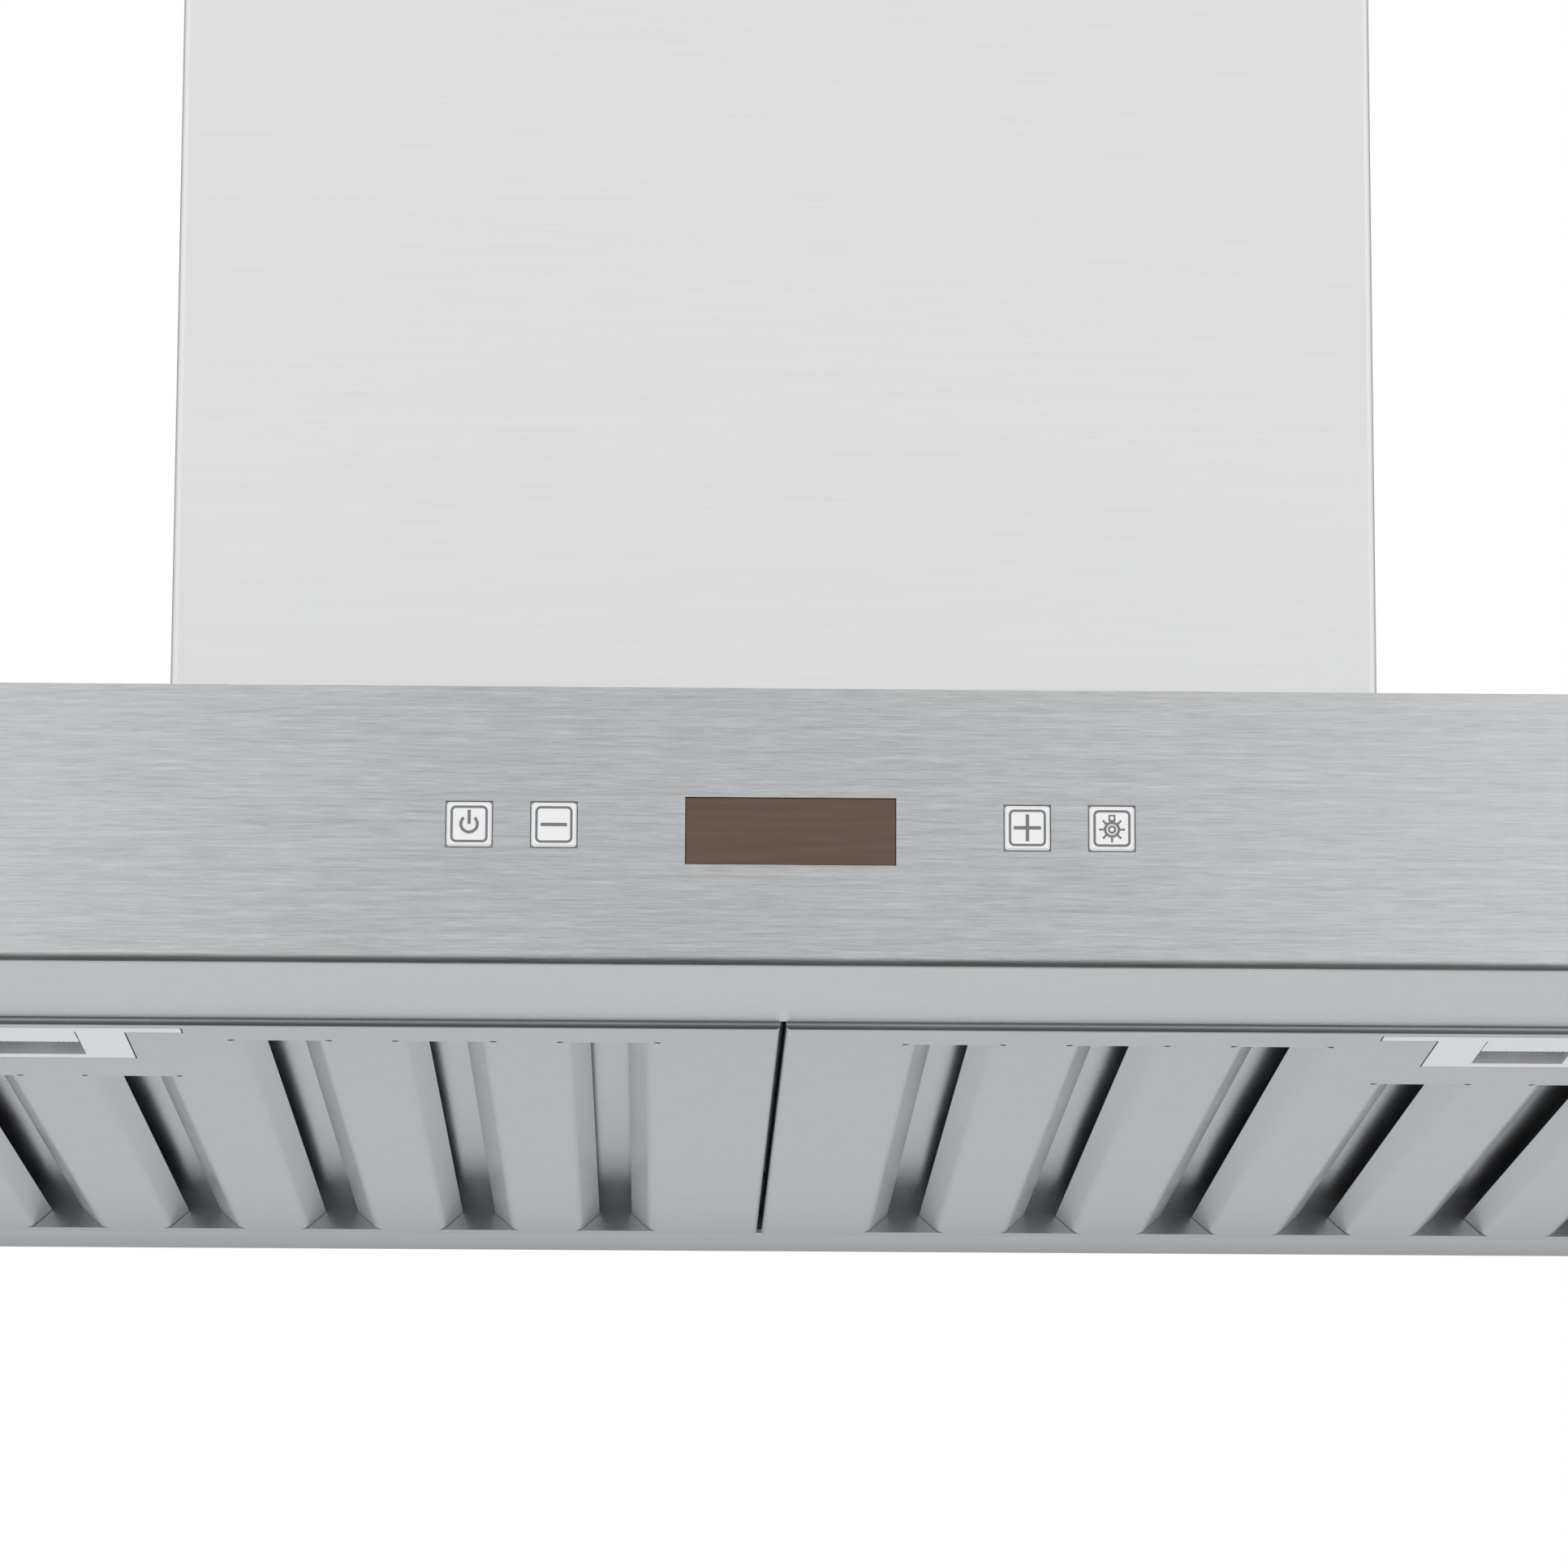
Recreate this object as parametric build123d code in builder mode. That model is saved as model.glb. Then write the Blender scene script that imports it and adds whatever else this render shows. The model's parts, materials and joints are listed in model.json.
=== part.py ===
from build123d import *
from math import cos, radians, sin
import os

# Wall-mounted range hood: a thin folded canopy with two baffle filters, a push-button strip,
# a blower on its top and a telescopic duct cover.
# Frame: X to the right, Y towards the wall, Z up. The wall is Y = 0, the canopy's underside is Z = 0.
# All lengths are in millimetres.

# ---------------------------------------------------------------- driving dimensions
CANOPY_WIDTH = 762.0
CANOPY_DEPTH = 500.0
CANOPY_HEIGHT = 62.0
SHEET = 1.2
FOLD_RADIUS = 2.0
RIM_FRONT = 78.5
RIM_REAR = 40.0
RIM_SIDE = 32.4
LIP_HEIGHT = 8.0
LIP_RADIUS = 1.1
SCREW_D = 4.0
SCREW_HEAD_D = 7.4
SCREW_HEAD_H = 2.4
SCREW_LENGTH = 8.0
SCREW_HOLE_CLEAR = 0.1

# wall fixing
WALL_HOLE_D = 6.5
WALL_HOLE_SPACING = 600.0
WALL_HOLE_RISE = 30.0

# filters
FILTER_SHEET = 0.8
FILTER_HEIGHT = 14.0
FILTER_DROP = 1.4
FILTER_SEAM = 1.2
FILTER_SIDE_GAP = 1.0
FILTER_FRONT_GAP = 2.5
FILTER_REAR_GAP = 5.5
TRAY_WALL = 8.0
TRAY_RADIUS = 1.5
FRAME_FLANGE = 8.0
FRAME_FLANGE_REAR = 3.0
FRAME_LIP = 5.2
UPPER_RISE = 10.75
SLOT_PITCH = 38.25
SLOT_CUT = 22.5
SLOT_MOUTH = 9.0
FLAP_BEND_R = 3.5
FLAP_ANGLE = 42.0
SLOT_EDGE = 15.0
SLOT_FRONT = 21.0
SLOT_REAR = 9.5
SLOT_FRONT_AT_LATCH = 78.0
SLOT_RELIEF = 0.5
SLOT_CORNER_R = 0.9
UPPER_SLOT_INSET = 5.0
UPPER_NOTCH_CLEAR = 0.6

# filter hanger
PIN_D = 4.0
PIN_CLEAR = 0.08
PIN_HEIGHT = 6.0
PIN_BEHIND_WALL = 4.7
PIN_LENGTH = 20.0
EAR = 2.0
HOOK_WIDTH = 12.0
HOOK_WALL = 2.2
HANGER_SPREAD = 110.0
HANGER_END_GAP = 10.0
HANGER_FOOT = 24.0
HANGER_WEB_GAP = 1.5
HOOK_HEADROOM = 4.0

# filter latch
LATCH_PLATE_W = 44.6
LATCH_STRIP_W = 71.2
LATCH_STRIP_FRONT = 4.0
LATCH_STRIP_REAR = 11.0
LATCH_PLATE_REAR = 50.0
LATCH_SLIT = 0.35
WINDOW_W = 21.5
WINDOW_FRONT = 10.0
WINDOW_REAR = 44.0
LATCH_PAD = 17.0
LATCH_RIBS = 17
LATCH_RIB_H = 0.6
GRIP_RIB_TALL = 2.4
LATCH_NOTCH_W = 10.5
LATCH_NOTCH_D = 2.2
LATCH_SPRING_Z = 5.0
BOLT_W = 16.0
BOLT_T = 1.6
BOLT_GRIP = 2.0
BOLT_CLEAR = 0.8
SPRING_WIRE = 0.6
LATCH_SPRING_D = 5.0
LATCH_SPRING_TURNS = 9

# control strip
BUTTON_HOLE = 10.5
BUTTON_GAP = 0.3
BUTTON_OFFSETS = (-70.6, -52.0, 52.0, 70.6)
BUTTON_NAMES = ("power", "minus", "plus", "light")
BUTTON_Z = 31.05
BUTTON_PROUD = 0.4
BUTTON_FLANGE = 1.0
BUTTON_TRAVEL = 1.2
STEM_D = 4.0
STEM_CLEAR = 0.1
GUIDE_BACK = 10.0
GUIDE_T = 2.0
SWITCH_BACK = 15.0
SWITCH_SIZE = 6.0
SWITCH_H = 3.6
BOARD_T = 1.6
BUTTON_SPRING_D = 6.4
BUTTON_SPRING_TURNS = 3
BUTTON_SPRING_WIRE = 0.4
DISPLAY_W = 46.4
DISPLAY_H = 15.05
DISPLAY_Z = 30.0
LENS_GAP = 0.15
LENS_RECESS = 0.3
LENS_T = 1.6
BEZEL_RIM = 3.0
BEZEL_DEPTH = 6.0
BOARD_HOLE_D = 3.4

# inner canopy pieces
DIVIDER_GAP = 8.0
DIVIDER_FOOT = 5.0
CABLE_HOLE_D = 12.0
CENTRE_RAIL_W = 30.0
CENTRE_RAIL_H = 16.0
CENTRE_RAIL_GAP = 1.2

# lamps
LAMP_SPACING = 540.0
LAMP_D = 56.0
LAMP_LENS_D = 46.0
LAMP_BEZEL_D = 62.0
LAMP_H = 26.0
LAMP_WALL = 1.2
LAMP_BEZEL_T = 0.8
LENS_SEAT = 2.0

# canopy electrics
ELEC_W = 120.0
ELEC_D = 90.0
ELEC_H = 30.0
ELEC_WALL = 2.0
ELEC_Y = -200.0
DRIVER_W = 90.0
DRIVER_D = 40.0
DRIVER_H = 22.0
GLAND_BESIDE_COVER = 40.0
GLAND_Y = -45.0
GLAND_HOLE_D = 20.0
GLAND_BORE_D = 8.0
GLAND_LIP = 3.0

# duct cover
COVER_WIDTH = 305.0
COVER_FRONT_ROOM = 28.0
COVER_HEIGHT = 457.0
COVER_SHEET = 1.0
COVER_RADIUS = 1.8
COVER_RETURN = 16.0
COVER_CLEAR = 0.6
UPPER_HEIGHT = 430.0
UPPER_TOP_PROUD = 4.0
VENT_COUNT = 6
VENT_PITCH = 12.0
VENT_LENGTH = 120.0
VENT_HEIGHT = 4.0
COVER_TAB = 18.0
BRACKET_H = 25.0
BRACKET_T = 1.5
BRACKET_HOLE_D = 5.0
BRACKET_SPACING = 220.0

# blower
BOX_SIDE_ROOM = 11.5
BOX_FRONT_ROOM = 22.6
BOX_FLOOR_ROOM = 13.0
BOX_SHEET = 1.0
BOX_FLANGE = 8.0
BOX_WALL_GAP = 17.0
INTAKE_MARGIN = 15.0
BLOWER_SCREW_SPREAD = 80.5
IMPELLER_R = 75.0
IMPELLER_W = 96.0
BLADE_COUNT = 32
BLADE_DEPTH = 13.0
BLADE_T = 0.9
BLADE_ANGLE = 35.0
SCROLL_GAP = 6.0
SCROLL_GROWTH = 28.0
SCROLL_WALL = 1.5
SCROLL_SIDE_GAP = 5.0
TONGUE_ANGLE = 65.0
MOUTH_RISE = 15.6
INLET_R = 62.0
INLET_FLANGE = 9.0
INLET_SPIGOT = 2.7
AXLE_D = 8.0
AXLE_CLEAR = 0.05
HUB_D = 24.0
HUB_LENGTH = 30.0
MOTOR_D = 92.0
MOTOR_LENGTH = 50.0
MOTOR_GAP = 10.0
ARM_W = 14.0
ARM_FOOT = 5.0
CAPACITOR_D = 30.0
CAPACITOR_H = 56.0
CAPACITOR_RISE = 20.0
COLLAR_D = 149.0
COLLAR_SHEET = 1.0
COLLAR_HEIGHT = 50.0
COLLAR_FLANGE = 6.0
TRANSITION_H = 45.0
FLAP_Z = 10.0
SEAT_T = 2.0
FLAP_T = 0.8
FLAP_HINGE_OFFSET = 3.5
FLAP_PIN_D = 2.5
FLAP_CLEAR = 1.0

# ---------------------------------------------------------------- derived places
HALF_WIDTH = CANOPY_WIDTH / 2
OPENING_HALF = HALF_WIDTH - RIM_SIDE
OPENING_FRONT = -CANOPY_DEPTH + RIM_FRONT
OPENING_REAR = -RIM_REAR
OPENING_DEPTH = OPENING_REAR - OPENING_FRONT
FILTER_W = OPENING_HALF - FILTER_SIDE_GAP - FILTER_SEAM / 2
FILTER_X = FILTER_SEAM / 2 + FILTER_W / 2
FILTER_FRONT = OPENING_FRONT + FILTER_FRONT_GAP
FILTER_REAR = OPENING_REAR - FILTER_REAR_GAP
FILTER_D = FILTER_REAR - FILTER_FRONT
FILTER_Y = (FILTER_FRONT + FILTER_REAR) / 2
FILTER_BOTTOM = -FILTER_DROP
FILTER_TOP = FILTER_BOTTOM + FILTER_HEIGHT
UPPER_Z = FILTER_BOTTOM + UPPER_RISE
SLOTS_PER_SIDE = int((FILTER_W / 2 - SLOT_EDGE) / SLOT_PITCH)
FRONT = Plane.XZ.offset(CANOPY_DEPTH)
TOP = CANOPY_HEIGHT
SCROLL_R0 = IMPELLER_R + SCROLL_GAP
SCROLL_R1 = SCROLL_R0 + SCROLL_GROWTH
SCROLL_W = IMPELLER_W + 2 * SCROLL_SIDE_GAP
SCROLL_R_FRONT = SCROLL_R0 + SCROLL_GROWTH * (180.0 - TONGUE_ANGLE) / (360.0 - TONGUE_ANGLE)
SCROLL_R_BOTTOM = SCROLL_R0 + SCROLL_GROWTH * (270.0 - TONGUE_ANGLE) / (360.0 - TONGUE_ANGLE)
TONGUE_Y = SCROLL_R0 * cos(radians(TONGUE_ANGLE))
TONGUE_Z = SCROLL_R0 * sin(radians(TONGUE_ANGLE))
AXIS_Y = -BOX_WALL_GAP - BOX_SHEET - 2 * SCROLL_WALL - SCROLL_R1
AXIS_Z = TOP + BOX_FLOOR_ROOM + SCROLL_WALL + SCROLL_R_BOTTOM
SCROLL_TOP = AXIS_Z + TONGUE_Z + MOUTH_RISE
BOX_TOP = SCROLL_TOP + TRANSITION_H + BOX_SHEET
BOX_HEIGHT = BOX_TOP - TOP
BOX_FRONT = AXIS_Y - SCROLL_R_FRONT - SCROLL_WALL - BOX_FRONT_ROOM - BOX_SHEET
BOX_DEPTH = -BOX_WALL_GAP - BOX_FRONT
BOX_Y = -BOX_WALL_GAP - BOX_DEPTH / 2
BOX_WIDTH = COVER_WIDTH - 2 * BOX_SIDE_ROOM
COVER_DEPTH = -BOX_FRONT + COVER_FRONT_ROOM
COVER_Y = -COVER_DEPTH / 2
GLAND_X = COVER_WIDTH / 2 + GLAND_BESIDE_COVER
COLLAR_R = COLLAR_D / 2
OUTLET_Y = -BOX_WALL_GAP - COLLAR_R - COLLAR_FLANGE - 4.0
PIN_Y = FILTER_REAR - 1.6
REAR_WALL_Y = PIN_Y - PIN_BEHIND_WALL
FRAME_W = FILTER_W - 2 * FILTER_SHEET
FRAME_D = REAR_WALL_Y - FILTER_FRONT - FILTER_SHEET
FRAME_Y = (REAR_WALL_Y + FILTER_FRONT + FILTER_SHEET) / 2
HOOK_INNER_R = PIN_D / 2 + PIN_CLEAR
HOOK_OUTER_R = HOOK_INNER_R + HOOK_WALL
SHELF_Z = PIN_HEIGHT + HOOK_OUTER_R + HOOK_HEADROOM
LIP_TOP = LIP_HEIGHT
BOLT_Z = LIP_TOP + BOLT_CLEAR
DISPLAY_BACK = LENS_RECESS + LENS_T

os.makedirs("parts", exist_ok=True)


def save(piece, name):
    """Label a finished sub-part and write it as one STEP file."""
    piece.part.label = name
    export_step(piece.part, f"parts/{name}.step")


def screw():
    """A pan-head screw at the origin: head above Z = 0, shank below."""
    with BuildPart() as body:
        with BuildSketch(Plane.XY):
            Circle(SCREW_HEAD_D / 2)
        extrude(amount=SCREW_HEAD_H)
        fillet(body.edges().sort_by(Axis.Z)[-1], SCREW_HEAD_H * 0.4)
        with BuildSketch(Plane.XY):
            Circle(SCREW_D / 2)
        extrude(amount=-SCREW_LENGTH)
        with BuildSketch(Plane.XY.offset(SCREW_HEAD_H)):
            Rectangle(SCREW_HEAD_D * 0.55, SCREW_HEAD_D * 0.14)
            Rectangle(SCREW_HEAD_D * 0.14, SCREW_HEAD_D * 0.55)
        extrude(amount=-SCREW_HEAD_H * 0.5, mode=Mode.SUBTRACT)
    return body.part


def coil(length, outer_d, wire_d, turns):
    """A coil spring of round wire that stands on Z = 0."""
    height = length - wire_d
    with BuildPart() as spring:
        with BuildLine() as path:
            Helix(pitch=height / turns, height=height, radius=(outer_d - wire_d) / 2)
        with BuildSketch(Plane(origin=path.line @ 0, z_dir=path.line % 0)):
            Circle(wire_d / 2)
        sweep(path=path.line, is_frenet=True)
    return Location((0, 0, wire_d / 2)) * spring.part


def place(part, planes):
    """Copies of a part moved onto each plane, as one group of separate solids."""
    return Compound([plane.location * part for plane in planes])


def save_group(group, name):
    """Write a group of separate solids as one STEP file."""
    group.label = name
    export_step(group, f"parts/{name}.step")


# ---------------------------------------------------------------- canopy
lamp_places = [(side * LAMP_SPACING / 2, -CANOPY_DEPTH + RIM_FRONT / 2) for side in (-1, 1)]
blower_screw_places = [
    (x * (BOX_WIDTH / 2 + BOX_FLANGE / 2), BOX_Y + y * BLOWER_SCREW_SPREAD)
    for x in (-1, 1)
    for y in (-1, 0, 1)
]
intake_w = BOX_WIDTH - 2 * INTAKE_MARGIN
intake_d = BOX_DEPTH - 2 * INTAKE_MARGIN

with BuildPart() as canopy_shell:
    with BuildSketch(Plane.XY):
        with Locations((0, -(CANOPY_DEPTH + SHEET) / 2)):
            Rectangle(CANOPY_WIDTH, CANOPY_DEPTH - SHEET)
    extrude(amount=CANOPY_HEIGHT)
    front_edges = canopy_shell.edges().filter_by(Axis.X).group_by(Axis.Y)[0]
    fillet(front_edges.sort_by(Axis.Z)[0], FOLD_RADIUS)
    with BuildSketch(Plane.XY.offset(SHEET)):
        with Locations((0, -CANOPY_DEPTH / 2)):
            Rectangle(CANOPY_WIDTH - 2 * SHEET, CANOPY_DEPTH - 2 * SHEET)
    extrude(amount=CANOPY_HEIGHT - 2 * SHEET, mode=Mode.SUBTRACT)
    # filter opening with an upturned lip
    with BuildSketch(Plane.XY):
        with Locations((0, (OPENING_FRONT + OPENING_REAR) / 2)):
            Rectangle(2 * OPENING_HALF + 2 * SHEET, OPENING_DEPTH + 2 * SHEET)
    extrude(amount=LIP_HEIGHT)
    with BuildSketch(Plane.XY):
        with Locations((0, (OPENING_FRONT + OPENING_REAR) / 2)):
            Rectangle(2 * OPENING_HALF, OPENING_DEPTH)
    extrude(amount=LIP_HEIGHT, mode=Mode.SUBTRACT)
    underside = canopy_shell.faces().sort_by(Axis.Z)[0]
    fillet(underside.inner_wires()[0].edges(), LIP_RADIUS)
    # lamp holes in the front rim
    with BuildSketch(Plane.XY):
        with Locations(*lamp_places):
            Circle(LAMP_D / 2)
    extrude(amount=SHEET, mode=Mode.SUBTRACT)
    # button and display cut-outs
    with BuildSketch(FRONT):
        with Locations(*[(x, BUTTON_Z) for x in BUTTON_OFFSETS]):
            Rectangle(BUTTON_HOLE, BUTTON_HOLE)
        with Locations((0, DISPLAY_Z)):
            Rectangle(DISPLAY_W, DISPLAY_H)
    extrude(amount=-SHEET, mode=Mode.SUBTRACT)
    # intake, cable and screw holes in the top
    with BuildSketch(Plane.XY.offset(TOP)):
        with Locations((0, BOX_Y)):
            Rectangle(intake_w, intake_d)
        with Locations((GLAND_X, GLAND_Y)):
            Circle(GLAND_HOLE_D / 2)
        with Locations(*blower_screw_places):
            Circle(SCREW_D / 2 + SCREW_HOLE_CLEAR)
    extrude(amount=-SHEET, mode=Mode.SUBTRACT)
save(canopy_shell, "canopy_shell")

with BuildPart() as canopy_back:
    with BuildSketch(Plane.XZ):
        with Locations((0, CANOPY_HEIGHT / 2)):
            Rectangle(CANOPY_WIDTH, CANOPY_HEIGHT)
            with GridLocations(WALL_HOLE_SPACING, WALL_HOLE_RISE, 2, 2):
                Circle(WALL_HOLE_D / 2, mode=Mode.SUBTRACT)
    extrude(amount=SHEET)
save(canopy_back, "canopy_back")

divider_y = OPENING_FRONT - DIVIDER_GAP
with BuildPart() as front_divider:
    with BuildSketch(Plane.XY.offset(SHEET)):
        with Locations((0, divider_y - SHEET / 2)):
            Rectangle(CANOPY_WIDTH - 2 * SHEET, SHEET)
    extrude(amount=CANOPY_HEIGHT - 2 * SHEET)
    with BuildSketch(Plane.XY.offset(SHEET)):
        with Locations((0, divider_y + DIVIDER_FOOT / 2)):
            Rectangle(CANOPY_WIDTH - 2 * SHEET, DIVIDER_FOOT)
    extrude(amount=SHEET)
    with BuildSketch(Plane.XZ.offset(-divider_y)):
        with Locations((DISPLAY_W, CANOPY_HEIGHT / 2), (LAMP_SPACING / 2, CANOPY_HEIGHT / 2)):
            Circle(CABLE_HOLE_D / 2)
    extrude(amount=2 * SHEET, mode=Mode.SUBTRACT)
save(front_divider, "front_divider")

rail_bottom = max(SHELF_Z + SHEET, FILTER_TOP) + CENTRE_RAIL_GAP
rail_front = divider_y
rail_rear = -SHEET
with BuildPart() as centre_rail:
    with BuildSketch(Plane.XZ.offset(-rail_front)):
        with Locations((0, rail_bottom + SHEET / 2)):
            Rectangle(CENTRE_RAIL_W, SHEET)
        with Locations(
            (-CENTRE_RAIL_W / 2 + SHEET / 2, rail_bottom + CENTRE_RAIL_H / 2),
            (CENTRE_RAIL_W / 2 - SHEET / 2, rail_bottom + CENTRE_RAIL_H / 2),
        ):
            Rectangle(SHEET, CENTRE_RAIL_H)
    extrude(amount=-(rail_rear - rail_front))
save(centre_rail, "centre_rail")

# ---------------------------------------------------------------- filter hanger
hook_places = [side * FILTER_X + spread for side in (-1, 1) for spread in (-HANGER_SPREAD, HANGER_SPREAD)]
web_y = OPENING_REAR + SHEET + HANGER_WEB_GAP
hanger_w = 2 * OPENING_HALF - 2 * HANGER_END_GAP
with BuildPart() as filter_hanger_rail:
    with BuildSketch(Plane.XY.offset(SHEET)):
        with Locations((0, web_y + HANGER_FOOT / 2)):
            Rectangle(hanger_w, HANGER_FOOT)
    extrude(amount=SHEET)
    with BuildSketch(Plane.XY.offset(SHEET)):
        with Locations((0, web_y + SHEET / 2)):
            Rectangle(hanger_w, SHEET)
    extrude(amount=SHELF_Z)
    shank_front = PIN_Y + HOOK_INNER_R
    with BuildSketch(Plane.XY.offset(SHELF_Z)):
        with Locations((0, (shank_front + web_y + SHEET) / 2)):
            Rectangle(hanger_w, web_y + SHEET - shank_front)
    extrude(amount=SHEET)
    for hook_x in hook_places:
        with BuildSketch(Plane.YZ.offset(hook_x - HOOK_WIDTH / 2)):
            with Locations((PIN_Y, PIN_HEIGHT)):
                Circle(HOOK_OUTER_R)
                Circle(HOOK_INNER_R, mode=Mode.SUBTRACT)
            with Locations((PIN_Y - HOOK_OUTER_R / 2, PIN_HEIGHT + HOOK_OUTER_R)):
                Rectangle(3 * HOOK_OUTER_R, 2 * HOOK_OUTER_R, mode=Mode.SUBTRACT)
            with Locations((PIN_Y + HOOK_INNER_R + HOOK_WALL / 2, (PIN_HEIGHT + SHELF_Z + SHEET) / 2)):
                Rectangle(HOOK_WALL, SHELF_Z + SHEET - PIN_HEIGHT)
        extrude(amount=HOOK_WIDTH)
save(filter_hanger_rail, "filter_hanger_rail")


# ---------------------------------------------------------------- filters
def slot_centres(x0):
    """X of each lanced slot of the lower plate, and how far from the front edge it starts."""
    for step in range(-SLOTS_PER_SIDE, SLOTS_PER_SIDE):
        offset = (step + 0.5) * SLOT_PITCH
        near_latch = abs(offset) < LATCH_STRIP_W / 2
        yield x0 + offset, SLOT_FRONT_AT_LATCH if near_latch else SLOT_FRONT


def flap_outline(x_root, z_face, side, up):
    """Outline of one flap: a bend at x_root, then a straight ramp towards side, up (1) or down (-1)."""
    turn = radians(FLAP_ANGLE)
    run = (SLOT_CUT - SLOT_MOUTH) / 2
    ramp = (run - FLAP_BEND_R * sin(turn)) / cos(turn)
    z_centre = z_face + up * FLAP_BEND_R
    inner_r = FLAP_BEND_R - FILTER_SHEET

    def on_bend(radius, angle):
        return (x_root + side * radius * sin(angle), z_centre - up * radius * cos(angle))

    def up_ramp(point):
        return (point[0] + side * ramp * cos(turn), point[1] + up * ramp * sin(turn))

    outer_end = on_bend(FLAP_BEND_R, turn)
    inner_end = on_bend(inner_r, turn)
    ThreePointArc((x_root, z_face), on_bend(FLAP_BEND_R, turn / 2), outer_end)
    Line(outer_end, up_ramp(outer_end))
    Line(up_ramp(outer_end), up_ramp(inner_end))
    Line(up_ramp(inner_end), inner_end)
    ThreePointArc(inner_end, on_bend(inner_r, turn / 2), (x_root, z_face + up * FILTER_SHEET))
    Line((x_root, z_face + up * FILTER_SHEET), (x_root, z_face))


def flap_pair(x_slot, z_face, up, y_front):
    """Section of both flaps of one slot, on the plane where they start."""
    with BuildSketch(Plane.XZ.offset(-y_front)) as section:
        for side in (-1, 1):
            with BuildLine():
                flap_outline(x_slot + side * SLOT_CUT / 2, z_face, -side, up)
            make_face()
    return section.sketch


for side, hand in ((-1, "left"), (1, "right")):
    x0 = side * FILTER_X
    y_rear_slot = FILTER_REAR - SLOT_REAR
    # lower plate: a shallow tray with lanced slots and a cut-out for the latch plate
    with BuildPart() as lower_plate:
        with BuildSketch(Plane.XY.offset(FILTER_BOTTOM)):
            with Locations((x0, FILTER_Y)):
                Rectangle(FILTER_W, FILTER_D)
        extrude(amount=TRAY_WALL)
        tray_edges = lower_plate.edges().group_by(Axis.Z)[0]
        fillet(tray_edges, TRAY_RADIUS)
        with BuildSketch(Plane.XY.offset(FILTER_BOTTOM + FILTER_SHEET)):
            with Locations((x0, FILTER_Y)):
                Rectangle(FILTER_W - 2 * FILTER_SHEET, FILTER_D - 2 * FILTER_SHEET)
        extrude(amount=TRAY_WALL, mode=Mode.SUBTRACT)
        # the rear wall is lowered so that the hinge pins stand behind the frame
        with BuildSketch(Plane.XY.offset(FILTER_BOTTOM + FILTER_SHEET)):
            with Locations((x0, FILTER_REAR)):
                Rectangle(FILTER_W, 4 * FILTER_SHEET)
        extrude(amount=TRAY_WALL, mode=Mode.SUBTRACT)
        with BuildSketch(Plane.XY.offset(FILTER_BOTTOM)):
            for x_slot, start in slot_centres(x0):
                y_front = FILTER_FRONT + start
                with Locations((x_slot, (y_front + y_rear_slot) / 2)):
                    Rectangle(SLOT_CUT, y_rear_slot - y_front)
                with Locations((x_slot - SLOT_CUT / 2, y_front), (x_slot + SLOT_CUT / 2, y_front)):
                    Circle(SLOT_CORNER_R)
            with Locations((x0, FILTER_FRONT + LATCH_PLATE_REAR / 2 + LATCH_STRIP_FRONT / 2)):
                Rectangle(LATCH_PLATE_W, LATCH_PLATE_REAR - LATCH_STRIP_FRONT)
            with Locations((x0, FILTER_FRONT + (LATCH_STRIP_FRONT + LATCH_STRIP_REAR) / 2)):
                Rectangle(LATCH_STRIP_W, LATCH_STRIP_REAR - LATCH_STRIP_FRONT)
        extrude(amount=FILTER_SHEET, mode=Mode.SUBTRACT)
        for x_slot, start in slot_centres(x0):
            y_front = FILTER_FRONT + start + SLOT_RELIEF
            flap_length = y_rear_slot - SLOT_RELIEF - y_front
            extrude(flap_pair(x_slot, FILTER_BOTTOM, 1, y_front), amount=-flap_length)
    save(lower_plate, f"filter_{hand}_lower_plate")

    # upper plate: slots over the lower plate's lands, flaps turned down, notched for the latch
    upper_slots = []
    for step in range(-SLOTS_PER_SIDE + 1, SLOTS_PER_SIDE):
        start = SLOT_FRONT_AT_LATCH if step == 0 else SLOT_FRONT
        upper_slots.append((x0 + step * SLOT_PITCH, FILTER_FRONT + start + UPPER_SLOT_INSET))
    upper_slot_rear = y_rear_slot - UPPER_SLOT_INSET
    notch_w = WINDOW_W + 2 * SHEET + 2 * UPPER_NOTCH_CLEAR
    notch_d = WINDOW_REAR + SHEET + UPPER_NOTCH_CLEAR
    with BuildPart() as upper_plate:
        with BuildSketch(Plane.XY.offset(UPPER_Z)):
            with Locations((x0, FRAME_Y)):
                Rectangle(FRAME_W - 2 * FILTER_SHEET, FRAME_D - 2 * FILTER_SHEET)
            for x_slot, y_front in upper_slots:
                with Locations((x_slot, (y_front + upper_slot_rear) / 2)):
                    Rectangle(SLOT_CUT, upper_slot_rear - y_front, mode=Mode.SUBTRACT)
            with Locations((x0, FILTER_FRONT + notch_d / 2)):
                Rectangle(notch_w, notch_d, mode=Mode.SUBTRACT)
        extrude(amount=FILTER_SHEET)
        for x_slot, y_front in upper_slots:
            flap_length = upper_slot_rear - y_front - 2 * SLOT_RELIEF
            flaps = flap_pair(x_slot, UPPER_Z + FILTER_SHEET, -1, y_front + SLOT_RELIEF)
            extrude(flaps, amount=-flap_length)
    save(upper_plate, f"filter_{hand}_upper_plate")

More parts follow.
